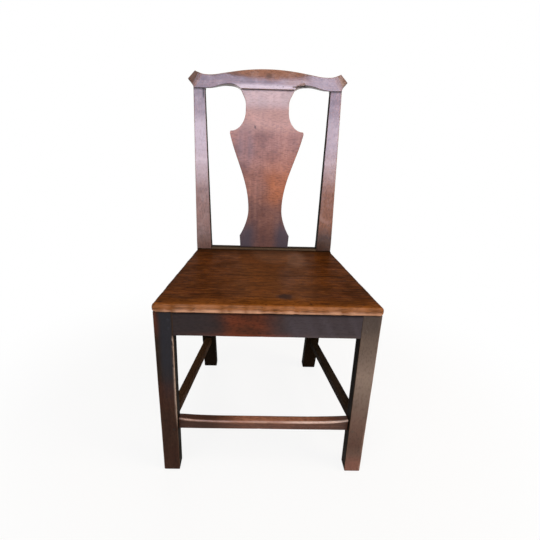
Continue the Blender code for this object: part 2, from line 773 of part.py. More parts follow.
def crest_top_curve():
    """Top edge of the crest's right half, from the middle to the ear."""
    half = TOP_WIDTH / 2
    dip = half * CREST_DIP_SHARE
    centre, low = BACK_LENGTH + CREST_CENTRE, BACK_LENGTH + CREST_DIP
    ear = (half - EAR_TOP_INSET, BACK_LENGTH + EAR_TOP)
    hump = bezier((0.0, centre), (dip * 0.52, centre), (dip * 0.79, low), (dip, low), 12)
    rise = bezier((dip, low), (dip + 0.45 * (ear[0] - dip), low),
                  (ear[0] - 0.35 * (ear[0] - dip), low + 0.1 * (ear[1] - low)), ear, 8)
    return hump + rise + [ear]


def crest_bottom_curve():
    """Bottom edge of the crest's right half, from the middle out to the tip of the ear.

    It is level over the splat, arched up beside it, level again on the post, and sweeps up to the ear.
    """
    half = TOP_WIDTH / 2
    joint = BACK_LENGTH
    splat_end = SPLAT_HEAD_HALF
    arch_x, arch_top = half * CREST_ARCH_SHARE, joint + CREST_ARCH
    rise = arch_x - splat_end
    seat = half - POST_TOP_WIDTH - 2 * CREST_ARRIS
    stop = seat - CREST_STOP
    fall = stop - arch_x
    ear = (half + EAR_REACH, joint + EAR_LOW)
    curve = bezier((0.0, SPLAT_TOP), (splat_end / 3, SPLAT_TOP), (2 * splat_end / 3, SPLAT_TOP),
                   (splat_end, SPLAT_TOP), 4)
    curve += bezier((splat_end, SPLAT_TOP),
                    (splat_end + 0.3 * rise, SPLAT_TOP + 0.7 * (arch_top - SPLAT_TOP)),
                    (arch_x - 0.4 * rise, arch_top), (arch_x, arch_top), 4)
    curve += bezier((arch_x, arch_top), (arch_x + 0.4 * fall, arch_top),
                    (stop - 0.4 * fall, joint), (stop, joint), 5)
    curve.append((stop, joint))
    on_post = len(curve)
    curve += bezier((seat, joint), (seat + (half - seat) / 3, joint), (half - (half - seat) / 3, joint),
                    (half, joint), 3)
    curve += bezier((half, joint), (half, joint + 0.35 * EAR_LOW),
                    (half + 0.45 * EAR_REACH, joint + 0.62 * EAR_LOW), ear, 5)
    curve.append(ear)
    return curve, on_post


def crest_columns():
    """Bottom point, top point and undercut of each section of the crest's right half."""
    bottom, on_post = crest_bottom_curve()
    top = crest_top_curve()
    seat = bottom[on_post][0]
    arch_x = TOP_WIDTH / 2 * CREST_ARCH_SHARE
    columns = []
    for place, point in enumerate(bottom):
        x = point[0]
        undercut = 0.0
        if place >= on_post:
            share = (place - on_post) / (len(bottom) - 1 - on_post)
            x = seat + (top[-1][0] - seat) * share
        elif x > arch_x:
            undercut = CREST_UNDERCUT * (x - arch_x) / (seat - CREST_STOP - arch_x)
        columns.append((point, (x, between(x, top)), undercut))
    return columns


def crest_section(low, high, undercut, roll):
    """Closed section of the crest between a bottom and a top point, as (x, height, depth) points."""
    length = math.dist(low, high)
    arris = CREST_ARRIS
    soft = arris * (1 - math.sqrt(0.5))
    back = CREST_THICKNESS
    profile = [(0.0, arris), (soft, soft), (arris, 0.0)]
    for step in range(CREST_ROLL_STEPS):
        share = CREST_ROLL_START_SHARE + (1 - CREST_ROLL_START_SHARE) * step / CREST_ROLL_STEPS
        profile.append((share * length, 0.0))
    profile += [(length - arris, 0.0), (length - soft, soft), (length, arris)]
    profile += [(length, back - arris), (length - soft, back - soft), (length - arris, back)]
    profile += [(undercut + arris, back), (undercut + soft, back - soft), (undercut, back - arris)]
    points = []
    for along, depth in profile:
        share = along / length
        x = low[0] + (high[0] - low[0]) * share
        height = low[1] + (high[1] - low[1]) * share
        front_share = 1 - depth / back
        points.append((x, height, depth + roll(share) * front_share))
    return points


def crest_rail(material):
    """Top rail of the back: rolled back along its middle and at its squared ears, mortised below."""
    half_columns = crest_columns()
    roll_half = TOP_WIDTH / 2 * CREST_ROLL_SHARE
    right = []
    for place, (low, high, undercut) in enumerate(half_columns):
        middle_roll = CREST_ROLL * max(0.0, 1 - (low[0] / roll_half) ** 2)
        from_end = len(half_columns) - 1 - place
        ear_roll = EAR_ROLL * max(0.0, 1 - from_end / EAR_ROLL_COLUMNS) ** 1.5

        def roll(share, middle_roll=middle_roll, ear_roll=ear_roll):
            rise = max(0.0, share - CREST_ROLL_START_SHARE) / (1 - CREST_ROLL_START_SHARE)
            return middle_roll * rise ** 2 + ear_roll

        right.append(crest_section(low, high, undercut, roll))
    left = [[(-x, height, depth) for x, height, depth in ring] for ring in reversed(right[1:])]
    rings = [[on_back(*point) for point in ring] for ring in left + right]
    rail = named(loft(rings), "crest_rail", material)
    for side in SIDES.values():
        take(rail, crest_tenon(side, FIT))
    take(rail, splat_head_tenon(FIT))
    return rail


def peg(name, start, end, pieces, material):
    """A drawbore peg from just outside a face to its inner end, and its hole in the joined pieces."""
    start, end = Vector(start), Vector(end)
    way = (end - start).normalized()
    for piece in pieces:
        take(piece, rod(start - way * PEG_BEYOND, end + way * FIT, PEG_RADIUS + FIT))
    named(rod(start - way * PEG_PROUD, end, PEG_RADIUS), name, material)


def seat_nail(name, x, y, board, rail, material):
    """A wrought nail through a seat board into the rail below it."""
    top = SEAT_HEIGHT - NAIL_SUNK
    under_head = top - NAIL_HEAD_DEPTH
    tip = top - NAIL_LENGTH
    take(board, rod((x, y, SEAT_HEIGHT + ROOT), (x, y, under_head - FIT), NAIL_HEAD_RADIUS + FIT))
    for piece in (board, rail):
        take(piece, rod((x, y, under_head), (x, y, tip - FIT), NAIL_NECK_RADIUS + FIT))
    levels = ((tip, NAIL_TIP_RADIUS), (under_head, NAIL_NECK_RADIUS), (under_head, NAIL_HEAD_RADIUS),
              (top, NAIL_CROWN_RADIUS))
    rings = []
    for z, radius in levels:
        angles = [2 * math.pi * side / NAIL_SIDES for side in range(NAIL_SIDES)]
        rings.append([(x + radius * math.cos(a), y + radius * math.sin(a), z) for a in angles])
    named(loft(rings), name, material)


def peg_joints(pieces, material):
    """Pegs through every pinned joint, on both sides."""
    low, high = rail_tenon_levels()
    rail_middle = (low + high) / 2
    front_middle = RAIL_SETBACK + RAIL_THICKNESS / 2
    back_middle = SEAT_DEPTH + BACK_RAIL_SETBACK + RAIL_THICKNESS / 2
    half_tenon = TENON_THICKNESS / 2 + PEG_BEYOND
    bar_front = FRONT_STRETCHER_LOW + (FRONT_STRETCHER_HEIGHT - FOOT_WEAR) / 2
    bar_side = SIDE_STRETCHER_LOW + SIDE_STRETCHER_HEIGHT / 2
    bar_back = BACK_STRETCHER_LOW + BACK_STRETCHER_HEIGHT / 2
    for word, side in SIDES.items():
        leg, post = pieces["front_leg_" + word], pieces["back_post_" + word]
        side_rail = pieces["side_seat_rail_" + word]
        side_bar_piece = pieces["side_stretcher_" + word]
        x = side * (LEG_INNER + FRONT_TENON / 2)
        for place, z in (("upper", (rail_middle + high) / 2), ("lower", (low + rail_middle) / 2)):
            peg(f"front_rail_peg_{place}_{word}", (x, 0, z), (x, front_middle + half_tenon, z),
                (leg, pieces["front_seat_rail"]), material)
        y = LEG_DEPTH - SIDE_TENON / 2
        outer = FRONT_WIDTH / 2 - LEG_TAPER * (1 - rail_middle / RAIL_TOP)
        peg(f"side_rail_peg_front_{word}", (side * outer, y, rail_middle),
            (side * (rail_line(y) - half_tenon), y, rail_middle), (leg, side_rail), material)
        y = SEAT_DEPTH + SIDE_TENON / 2
        peg(f"side_rail_peg_back_{word}", (side * post_outer(rail_middle), y, rail_middle),
            (side * (rail_line(y) - half_tenon), y, rail_middle), (post, side_rail), material)
        x = side * (post_inner(rail_middle) + BACK_TENON / 2)
        peg(f"back_rail_peg_{word}", (x, SEAT_DEPTH + POST_DEPTH, rail_middle),
            (x, back_middle - half_tenon, rail_middle), (post, pieces["back_seat_rail"]), material)
        x = side * (LEG_INNER + STRETCHER_TENON / 2)
        peg(f"front_stretcher_peg_{word}", (x, 0, bar_front),
            (x, front_stretcher_middle() + half_tenon, bar_front), (leg, pieces["front_stretcher"]), material)
        y = LEG_DEPTH - STRETCHER_TENON / 2
        outer = FRONT_WIDTH / 2 - LEG_TAPER * (1 - bar_side / RAIL_TOP)
        peg(f"side_stretcher_peg_front_{word}", (side * outer, y, bar_side),
            (side * (stretcher_line(y) - half_tenon), y, bar_side), (leg, side_bar_piece), material)
        y = post_front(bar_side) + STRETCHER_TENON / 2
        peg(f"side_stretcher_peg_back_{word}", (side * post_outer(bar_side), y, bar_side),
            (side * (stretcher_line(y) - half_tenon), y, bar_side), (post, side_bar_piece), material)
        x = side * (post_inner(bar_back) + STRETCHER_TENON / 2)
        peg(f"back_stretcher_peg_{word}", (x, post_front(bar_back) + POST_DEPTH, bar_back),
            (x, back_stretcher_middle() - half_tenon, bar_back), (post, pieces["back_stretcher"]), material)
        x = side * (TOP_WIDTH / 2 - POST_TOP_WIDTH / 2)
        height = BACK_LENGTH + CREST_TENON / 2
        peg(f"crest_peg_{word}", on_back(x, height, CREST_THICKNESS),
            on_back(x, height, POST_TOP_DEPTH / 2 - half_tenon), (pieces["crest_rail"], post), material)


def nail_seat(pieces, material):
    """Nails along the front edge and both sides of the seat."""
    front_y = RAIL_SETBACK + RAIL_THICKNESS / 2
    for word, side in SIDES.items():
        for place, share in zip(("inner", "outer"), FRONT_NAIL_SHARES):
            seat_nail(f"front_nail_{place}_{word}", side * share * FRONT_WIDTH, front_y,
                      pieces["seat_board_front"], pieces["front_seat_rail"], material)
        for place, share in zip(("front", "back"), SIDE_NAIL_SHARES):
            y = share * SEAT_DEPTH
            seat_nail(f"side_nail_{place}_{word}", side * rail_line(y), y,
                      pieces["seat_board_" + place], pieces["side_seat_rail_" + word], material)


def centre_on_floor():
    """Hangs all the pieces on one empty, with the origin under the middle of the chair."""
    pieces = list(bpy.data.objects)
    depths = [vertex.co.y for piece in pieces for vertex in piece.data.vertices]
    chair = bpy.data.objects.new("chair", None)
    bpy.context.collection.objects.link(chair)
    for piece in pieces:
        piece.parent = chair
    chair.location.y = -(min(depths) + max(depths)) / 2


def main():
    """Makes every piece, then pins and nails them."""
    for item in list(bpy.data.objects):
        bpy.data.objects.remove(item)
    frame = finish("dark_polished_oak", "3A2623", 0.35)
    back = finish("polished_oak_back", "6B4A42", 0.32)
    board = finish("worn_oak_seat", "5A2F18", 0.38)
    splat_wood = finish("faded_oak_splat", "8A5A4A", 0.35)
    hidden = finish("bare_old_oak", "6E5238", 0.75)
    pin = finish("riven_oak_peg", "35221D", 0.55)
    iron = finish("wrought_iron", "1E1B1A", 0.6, 1.0)
    pieces = {}
    for word, side in SIDES.items():
        pieces["front_leg_" + word] = front_leg("front_leg_" + word, side, frame)
        pieces["back_post_" + word] = back_post("back_post_" + word, side, back)
        pieces["side_seat_rail_" + word] = side_seat_rail("side_seat_rail_" + word, side, frame)
        pieces["side_stretcher_" + word] = side_stretcher("side_stretcher_" + word, side, frame)
        for end in ("front", "back"):
            corner_brace(f"corner_brace_{end}_{word}", side, end, hidden)
    pieces["front_seat_rail"] = front_seat_rail(frame)
    pieces["back_seat_rail"] = back_seat_rail(frame)
    pieces["front_stretcher"] = front_stretcher(frame)
    pieces["back_stretcher"] = back_stretcher(frame)
    pieces["seat_board_front"] = seat_board_front(board)
    pieces["seat_board_back"] = seat_board_back(board)
    pieces["crest_rail"] = crest_rail(back)
    shoe(back)
    splat(splat_wood)
    peg_joints(pieces, pin)
    nail_seat(pieces, iron)
    centre_on_floor()


main()
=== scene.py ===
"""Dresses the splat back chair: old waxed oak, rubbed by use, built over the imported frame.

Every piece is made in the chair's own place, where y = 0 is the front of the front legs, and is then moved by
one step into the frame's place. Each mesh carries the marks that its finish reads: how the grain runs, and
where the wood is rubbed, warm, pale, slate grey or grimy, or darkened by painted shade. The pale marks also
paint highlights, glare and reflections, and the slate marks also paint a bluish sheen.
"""

import logging
import math
from collections.abc import Callable, Sequence
from dataclasses import dataclass, field, replace
from enum import Enum
from functools import partial
from operator import attrgetter

import bmesh
import bpy
from mathutils import Matrix, Vector, noise
from mathutils.geometry import delaunay_2d_cdt


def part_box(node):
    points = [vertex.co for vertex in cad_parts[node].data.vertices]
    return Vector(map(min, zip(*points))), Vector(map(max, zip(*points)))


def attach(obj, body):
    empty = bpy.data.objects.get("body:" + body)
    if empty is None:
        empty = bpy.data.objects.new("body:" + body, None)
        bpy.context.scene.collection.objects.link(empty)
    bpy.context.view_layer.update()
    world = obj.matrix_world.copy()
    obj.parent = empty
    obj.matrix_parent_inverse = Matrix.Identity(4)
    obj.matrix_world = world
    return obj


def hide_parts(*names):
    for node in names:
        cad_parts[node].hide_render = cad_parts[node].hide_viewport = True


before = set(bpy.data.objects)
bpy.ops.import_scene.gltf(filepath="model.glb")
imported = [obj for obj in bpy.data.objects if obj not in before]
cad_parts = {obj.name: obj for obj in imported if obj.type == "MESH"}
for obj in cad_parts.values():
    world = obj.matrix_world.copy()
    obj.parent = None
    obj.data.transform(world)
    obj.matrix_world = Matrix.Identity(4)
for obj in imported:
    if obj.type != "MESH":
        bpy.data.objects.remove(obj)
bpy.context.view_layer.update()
LOG = logging.getLogger("chair")
BODY = "root"
OAK = "_oak"
TO_FRAME = Vector((0.0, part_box("front_leg_left")[0].y, 0.0))
SHARP_ANGLE = math.radians(38)
QUARTER = math.pi / 2
ROUND_STEPS = 5

Material = bpy.types.Material
Node = bpy.types.Node
Adder = Callable[..., Node]
Piece = bpy.types.Object
Socket = bpy.types.NodeSocket
Tree = bpy.types.NodeTree
Mark = Callable[[Vector], float]
Marks = dict[str, Mark]
Pair = tuple[float, float]
Curve = list[Pair]


class Side(Enum):
    """Left and right, as seen from in front of the chair."""

    LEFT = -1
    RIGHT = 1

    @property
    def word(self) -> str:
        """The word that the frame's nodes use for this side."""
        return self.name.lower()


class End(Enum):
    """The front or the back end of a piece that runs from front to back."""

    FRONT = "front"
    BACK = "back"


class Pattern(Enum):
    """Where a finish takes its pattern's coordinates from."""

    GRAIN = "grain"
    PLACE = "place"


# Small tools


def linear(hex_text: str) -> tuple[float, float, float, float]:
    """Turns an sRGB hex colour into the linear colour that a shader takes, by the sRGB standard's own curve.

    Args:
        hex_text: six hex digits.

    Returns:
        Linear red, green and blue, with alpha 1.
    """
    values = []
    for place in (0, 2, 4):
        value = int(hex_text[place:place + 2], 16) / 255
        values.append(value / 12.92 if value <= 0.04045 else ((value + 0.055) / 1.055) ** 2.4)
    return (*values, 1.0)


def feed(tree: Tree, node: Node, inputs: dict) -> None:
    """Gives a node its inputs.

    Args:
        tree: the node's tree.
        node: the node.
        inputs: a value or another node's output for each named or numbered input.
    """
    for key, value in inputs.items():
        if isinstance(value, Socket):
            tree.links.new(value, node.inputs[key])
        else:
            node.inputs[key].default_value = value


def add_node(tree: Tree, kind: str, inputs: dict | None = None, **settings: object) -> Node:
    """Adds a node to a tree.

    Args:
        tree: the tree that gets the node.
        kind: Blender's name for the kind of node.
        inputs: a value or another node's output for each named or numbered input.
        settings: the node's own properties.

    Returns:
        The new node.
    """
    node = tree.nodes.new(kind)
    for name, value in settings.items():
        setattr(node, name, value)
    feed(tree, node, inputs or {})
    return node


def between(value: float, points: Sequence[Pair]) -> float:
    """Reads a chain of straight lines at one place.

    Args:
        value: the place.
        points: (place, value) pairs in order.

    Returns:
        The value there.
    """
    for (start, first), (end, last) in zip(points, points[1:]):
        if value <= end:
            break
    return first + (last - first) * (value - start) / (end - start)


def clamp(value: float) -> float:
    """Keeps a value between 0 and 1."""
    return min(1.0, max(0.0, value))


def smooth(value: float, low: float, high: float) -> float:
    """Goes softly from 0 at low to 1 at high, which may be below low."""
    share = clamp((value - low) / (high - low))
    return share * share * (3 - 2 * share)


def sweep(first: Pair, last: Pair, pulls: Sequence[float], steps: int) -> Curve:
    """Points along a cubic curve, without its last one.

    Args:
        first: the first point.
        last: the last point.
        pulls: how far each end is pulled towards the other, as shares of the way across and of the way up:
            the first point's two shares, and then the last one's.
        steps: how many points to give.

    Returns:
        The points.
    """
    across, up = last[0] - first[0], last[1] - first[1]
    pull = (first[0] + pulls[0] * across, first[1] + pulls[1] * up)
    last_pull = (last[0] - pulls[2] * across, last[1] - pulls[3] * up)
    points = []
    for step in range(steps):
        t = step / steps
        weights = ((1 - t) ** 3, 3 * t * (1 - t) ** 2, 3 * t * t * (1 - t), t ** 3)
        corners = list(zip(weights, (first, pull, last_pull, last)))
        points.append(tuple(sum(weight * corner[axis] for weight, corner in corners) for axis in (0, 1)))
    return points


def wander(seed: float, place: float, length: float) -> float:
    """A smooth random value from -1 to 1, at a place on one seed's line, with swings of one length."""
    return noise.noise(Vector((place / length, 7.13 * seed, 3.71 * seed)))


# Marks: each is a function that gives a share at a place on the chair, made of soft patches

X, Y, Z = (attrgetter(axis) for axis in "xyz")


def away(measure: Mark, middle: float) -> Mark:
    """How far a measure is from one value."""
    return lambda p: abs(measure(p) - middle)


def weighed(*parts: tuple[Mark, float]) -> Mark:
    """The sum of some measures, each times its weight."""
    return lambda p: sum(weight * measure(p) for measure, weight in parts)


def from_spot(*parts: tuple[Mark, float, float]) -> Mark:
    """Distance from a round patch: each direction's measure, the patch's middle there and its size."""
    return lambda p: math.hypot(*((measure(p) - middle) / size for measure, middle, size in parts))


def chain(measure: Mark, points: Sequence[Pair]) -> Mark:
    """A chain of straight lines along a measure."""
    return lambda p: between(measure(p), points)


def fade(measure: Mark, low: float, high: float) -> Mark:
    """A soft step along a measure, from 0 at low to 1 at high."""
    return lambda p: smooth(measure(p), low, high)


def swing(seed: float, measure: Mark, length: float, middle: float = 0.0, amount: float = 1.0) -> Mark:
    """A value that wanders along a measure, in swings of one length, by an amount about its middle."""
    return lambda p: middle + amount * wander(seed, measure(p), length)


def patch(strength: float, *factors: Mark | tuple[Mark, float, float]) -> Mark:
    """A soft patch: its strength times every factor. A measure with two limits stands for a soft step."""
    steps = [fade(*factor) if isinstance(factor, tuple) else factor for factor in factors]
    return lambda p: strength * math.prod(step(p) for step in steps)


def total(*marks: Mark) -> Mark:
    """The sum of some marks."""
    return lambda p: sum(mark(p) for mark in marks)


def most(*marks: Mark) -> Mark:
    """The strongest of some marks at each place."""
    return lambda p: max(mark(p) for mark in marks)


# A piece that is the same colour all over still has each mark, so that its finish finds them.
NO_MARKS: Marks = {mark: patch(0.0) for mark in ("warm", "pale", "grime", "slate")}


# Sizes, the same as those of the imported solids


@dataclass(frozen=True)
class ChairSizes:
    """The chair's driving sizes in metres, and the lines that follow from them."""

    seat_height: float = 0.445
    front_width: float = 0.488
    back_width: float = 0.402
    top_width: float = 0.424
    foot_width: float = 0.386
    seat_depth: float = 0.405
    back_length: float = 0.459
    back_rake: float = math.radians(12.0)
    back_bend: float = 0.040
    gap: float = 0.0003
    leg_width: float = 0.041
    leg_depth: float = 0.042
    leg_taper: float = 0.003
    post_width: float = 0.0435
    post_top_width: float = 0.033
    post_foot_width: float = 0.042
    post_depth: float = 0.034
    post_top_depth: float = 0.023
    foot_kick: float = 0.058
    kick_curve: float = 1.7
    rail_height: float = 0.056
    rail_thickness: float = 0.022
    seat_thickness: float = 0.019
    shoe_height: float = 0.0075
    splat_head_rise: float = 0.002

    @property
    def seat_under(self) -> float:
        """Level of the seat's underside."""
        return self.seat_height - self.seat_thickness

    @property
    def rail_top(self) -> float:
        """Level of the top of the seat rails."""
        return self.seat_under - self.gap

    @property
    def rail_bottom(self) -> float:
        """Level of the bottom of the seat rails."""
        return self.rail_top - self.rail_height

    @property
    def rail_levels(self) -> Pair:
        """Bottom and top of the seat rails."""
        return self.rail_bottom, self.rail_top

    @property
    def leg_inner(self) -> float:
        """Half the clear width between the front legs."""
        return self.front_width / 2 - self.leg_width

    @property
    def bend_radius(self) -> float:
        """Radius of the bend in the posts at the seat."""
        return self.back_bend / self.back_rake

    @property
    def joint_z(self) -> float:
        """Level of the joint between a post and the crest rail, at the front."""
        return self.on_back(0.0, self.back_length, 0.0).z

    def on_bend(self, lean: float) -> Pair:
        """Where the posts' front face is on the bend at the seat, at one lean, as (y, z)."""
        y = self.seat_depth + self.bend_radius * (1 - math.cos(lean))
        return y, self.seat_height + self.bend_radius * math.sin(lean)

    def on_back(self, x: float, height: float, depth: float) -> Vector:
        """A place on the raked back.

        Args:
            x: place across the chair.
            height: distance up the rake from the seat.
            depth: distance behind the front face of the posts.

        Returns:
            The place.
        """
        y, z = self.on_bend(self.back_rake)
        along = height - self.back_bend
        sine, cosine = math.sin(self.back_rake), math.cos(self.back_rake)
        return Vector((x, y + along * sine + depth * cosine, z + along * cosine - depth * sine))

    def height_on_back(self, z: float, depth: float) -> float:
        """The distance up the rake of a place at level z, at one depth behind the posts' face."""
        above = z - self.on_bend(self.back_rake)[1] + depth * math.sin(self.back_rake)
        return self.back_bend + above / math.cos(self.back_rake)

    def leg_outer(self, z: float) -> float:
        """Half the width over the front legs at one level."""
        return self.front_width / 2 - self.leg_taper * (1 - z / self.rail_top)

    def post_outer(self, z: float) -> float:
        """Half the width over the back posts at one level."""
        widths = ((0, self.foot_width / 2), (self.seat_height, self.back_width / 2))
        return between(z, (*widths, (self.joint_z, self.top_width / 2)))

    def post_inner(self, z: float) -> float:
        """Half the clear width between the back posts at one level."""
        widths = ((0, self.post_foot_width), (self.seat_height, self.post_width))
        return self.post_outer(z) - between(z, (*widths, (self.joint_z, self.post_top_width)))

    def post_front(self, z: float) -> float:
        """Where the front of a back post is, at a level up to the seat."""
        drop = max(0.0, (self.rail_bottom - z) / self.rail_bottom)
        return self.seat_depth + self.foot_kick * drop ** self.kick_curve

    def side_line(self, y: float, setback: float, thickness: float, level: float) -> float:
        """Half the distance between the middles of two side rails or side stretchers.

        Args:
            y: the depth.
            setback: how far they stand in from the outside of the legs.
            thickness: their thickness.
            level: the level at which they meet the back posts.

        Returns:
            Half the distance.
        """
        inset = setback + thickness / 2
        front, back = self.front_width / 2 - inset, self.post_outer(level) - inset
        return between(y, ((self.leg_depth, front), (self.seat_depth, back)))


def cross_section(x: float, depths: Pair, levels: Pair) -> list[Vector]:
    """Corners of a bar that runs left to right: lower front and back, then upper back and front."""
    (front, back), (low, high) = depths, levels
    return [Vector((x, y, z)) for y, z in ((front, low), (back, low), (back, high), (front, high))]


def side_section(side: Side, y: float, middle: float, thickness: float,
                 levels: Pair) -> list[Vector]:
    """Corners of a bar that runs front to back: lower inner, lower outer, upper outer and upper inner.

    Args:
        side: which side of the chair it is on.
        y: place along the bar.
        middle: how far its middle is from the chair's middle.
        thickness: its thickness.
        levels: its bottom and top.

    Returns:
        The corners.
    """
    inner, outer = (side.value * (middle + way * thickness / 2) for way in (-1, 1))
    low, high = levels
    return [Vector((x, y, z)) for x, z in ((inner, low), (outer, low), (outer, high), (inner, high))]


# Mesh makers


def put(name: str, data: bpy.types.ID) -> Piece:
    """Makes an object of some data and puts it in the scene.

    Args:
        name: the object's name.
        data: its mesh, light or camera.

    Returns:
        The object.
    """
    item = bpy.data.objects.new(name, data)
    bpy.context.scene.collection.objects.link(item)
    return item


def write_numbers(mesh: bpy.types.Mesh, name: str, values: Sequence[float]) -> None:
    """Keeps a number at each point of a mesh."""
    mesh.attributes.new(name, "FLOAT", "POINT").data.foreach_set("value", values)


def write_vectors(mesh: bpy.types.Mesh, name: str, vectors: Sequence[Vector]) -> None:
    """Keeps a vector at each point of a mesh."""
    flat = [value for vector in vectors for value in vector]
    mesh.attributes.new(name, "FLOAT_VECTOR", "POINT").data.foreach_set("vector", flat)


def grain_at(seed: int, along: float, across: float, through: float) -> Vector:
    """A place in the grain: each seed's piece is cut from another part of the tree."""
    return Vector((along + seed * 1.37, across + seed * 0.61, through + seed * 0.23))


@dataclass
class Skin:
    """Points of one piece, with the grain and the rubbed share at each, and the faces between them."""

    points: list[Vector] = field(default_factory=list)
    grains: list[Vector] = field(default_factory=list)
    rubs: list[float] = field(default_factory=list)
    faces: list[tuple[int, ...]] = field(default_factory=list)

    def add(self, point: Vector, grain: Vector, rub: float) -> int:
        """Adds a point.

        Args:
            point: its place.
            grain: place along, across and through the wood, in metres.
            rub: how much it is rubbed, from 0 to 1.

        Returns:
            Its number.
        """
        self.points.append(point)
        self.grains.append(grain)
        self.rubs.append(rub)
        return len(self.points) - 1

    def bridge(self, rings: Sequence[Sequence[int]]) -> None:
        """Adds the faces between each closed ring of points and the next one.

        Args:
            rings: numbers of the points of each ring.
        """
        for near, far in zip(rings, rings[1:]):
            for place, number in enumerate(near):
                following = (place + 1) % len(near)
                self.faces.append((number, near[following], far[following], far[place]))

    def tube(self, rings: Sequence[Sequence[int]]) -> None:
        """Adds the faces between rings of points, and closes both ends."""
        self.bridge(rings)
        self.faces += [tuple(reversed(rings[0])), tuple(rings[-1])]

    def piece(self, name: str, marks: Marks) -> Piece:
        """Turns the skin into a piece of the scene.

        Args:
            name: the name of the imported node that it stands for.
            marks: for each mark, a function that gives it at a place on the chair.

        Returns:
            The new object.
        """
        body = bmesh.new()
        corners = [body.verts.new(point + TO_FRAME) for point in self.points]
        for face in self.faces:
            body.faces.new([corners[place] for place in face])
        bmesh.ops.recalc_face_normals(body, faces=body.faces)
        mesh = bpy.data.meshes.new(name + OAK)
        body.to_mesh(mesh)
        body.free()
        mesh.shade_smooth()
        mesh.set_sharp_from_angle(angle=SHARP_ANGLE)
        write_vectors(mesh, "grain", self.grains)
        write_numbers(mesh, "rub", self.rubs)
        for mark, function in marks.items():
            write_numbers(mesh, mark, [clamp(function(point)) for point in self.points])
        return put(name + OAK, mesh)


def sides_at(corners: Sequence[Vector], place: int) -> tuple[Vector, Vector]:
    """The ways back and ahead along an outline's two sides at one corner."""
    corner, following = corners[place], corners[(place + 1) % len(corners)]
    return (corners[place - 1] - corner).normalized(), (following - corner).normalized()


def inset_corners(corners: Sequence[Vector], amount: float, least_sine: float = 0.2) -> list[Vector]:
    """Moves the corners of a flat outline inwards, so that every side moves by one amount.

    Args:
        corners: the outline.
        amount: how far each side moves.
        least_sine: the sine of the sharpest angle that a corner is taken to have.

    Returns:
        The new corners.
    """
    moved = []
    for place, corner in enumerate(corners):
        back, ahead = sides_at(corners, place)
        moved.append(corner + (back + ahead) * (amount / max(least_sine, back.cross(ahead).length)))
    return moved


def rounded_ring(corners: Sequence[Vector], radii: Sequence[float], arc_steps: int,
                 side_steps: int) -> list[tuple[Vector, float]]:
    """Rounds the corners of a flat outline.

    Args:
        corners: the outline.
        radii: how much to round each corner.
        arc_steps: parts of each round corner.
        side_steps: parts of each straight side.

    Returns:
        Points round the outline, each with 1 in the middle of a corner, falling to 0 on the sides.
    """
    ring = []
    for place, corner in enumerate(corners):
        following = (place + 1) % len(corners)
        back, ahead = sides_at(corners, place)
        start, end = corner + back * radii[place], corner + ahead * radii[place]
        for step in range(arc_steps + 1):
            t = step / arc_steps
            point = start * (1 - t) ** 2 + corner * (2 * t * (1 - t)) + end * t ** 2
            ring.append((point, 1 - abs(2 * t - 1) ** 2))
        side_end = corners[following] - ahead * radii[following]
        ring += [(end.lerp(side_end, step / side_steps), 0.0) for step in range(1, side_steps)]
    return ring


def same(*radii: float) -> Callable[[float], Sequence[float]]:
    """Arris radii that are the same all along a bar."""
    return lambda place: radii


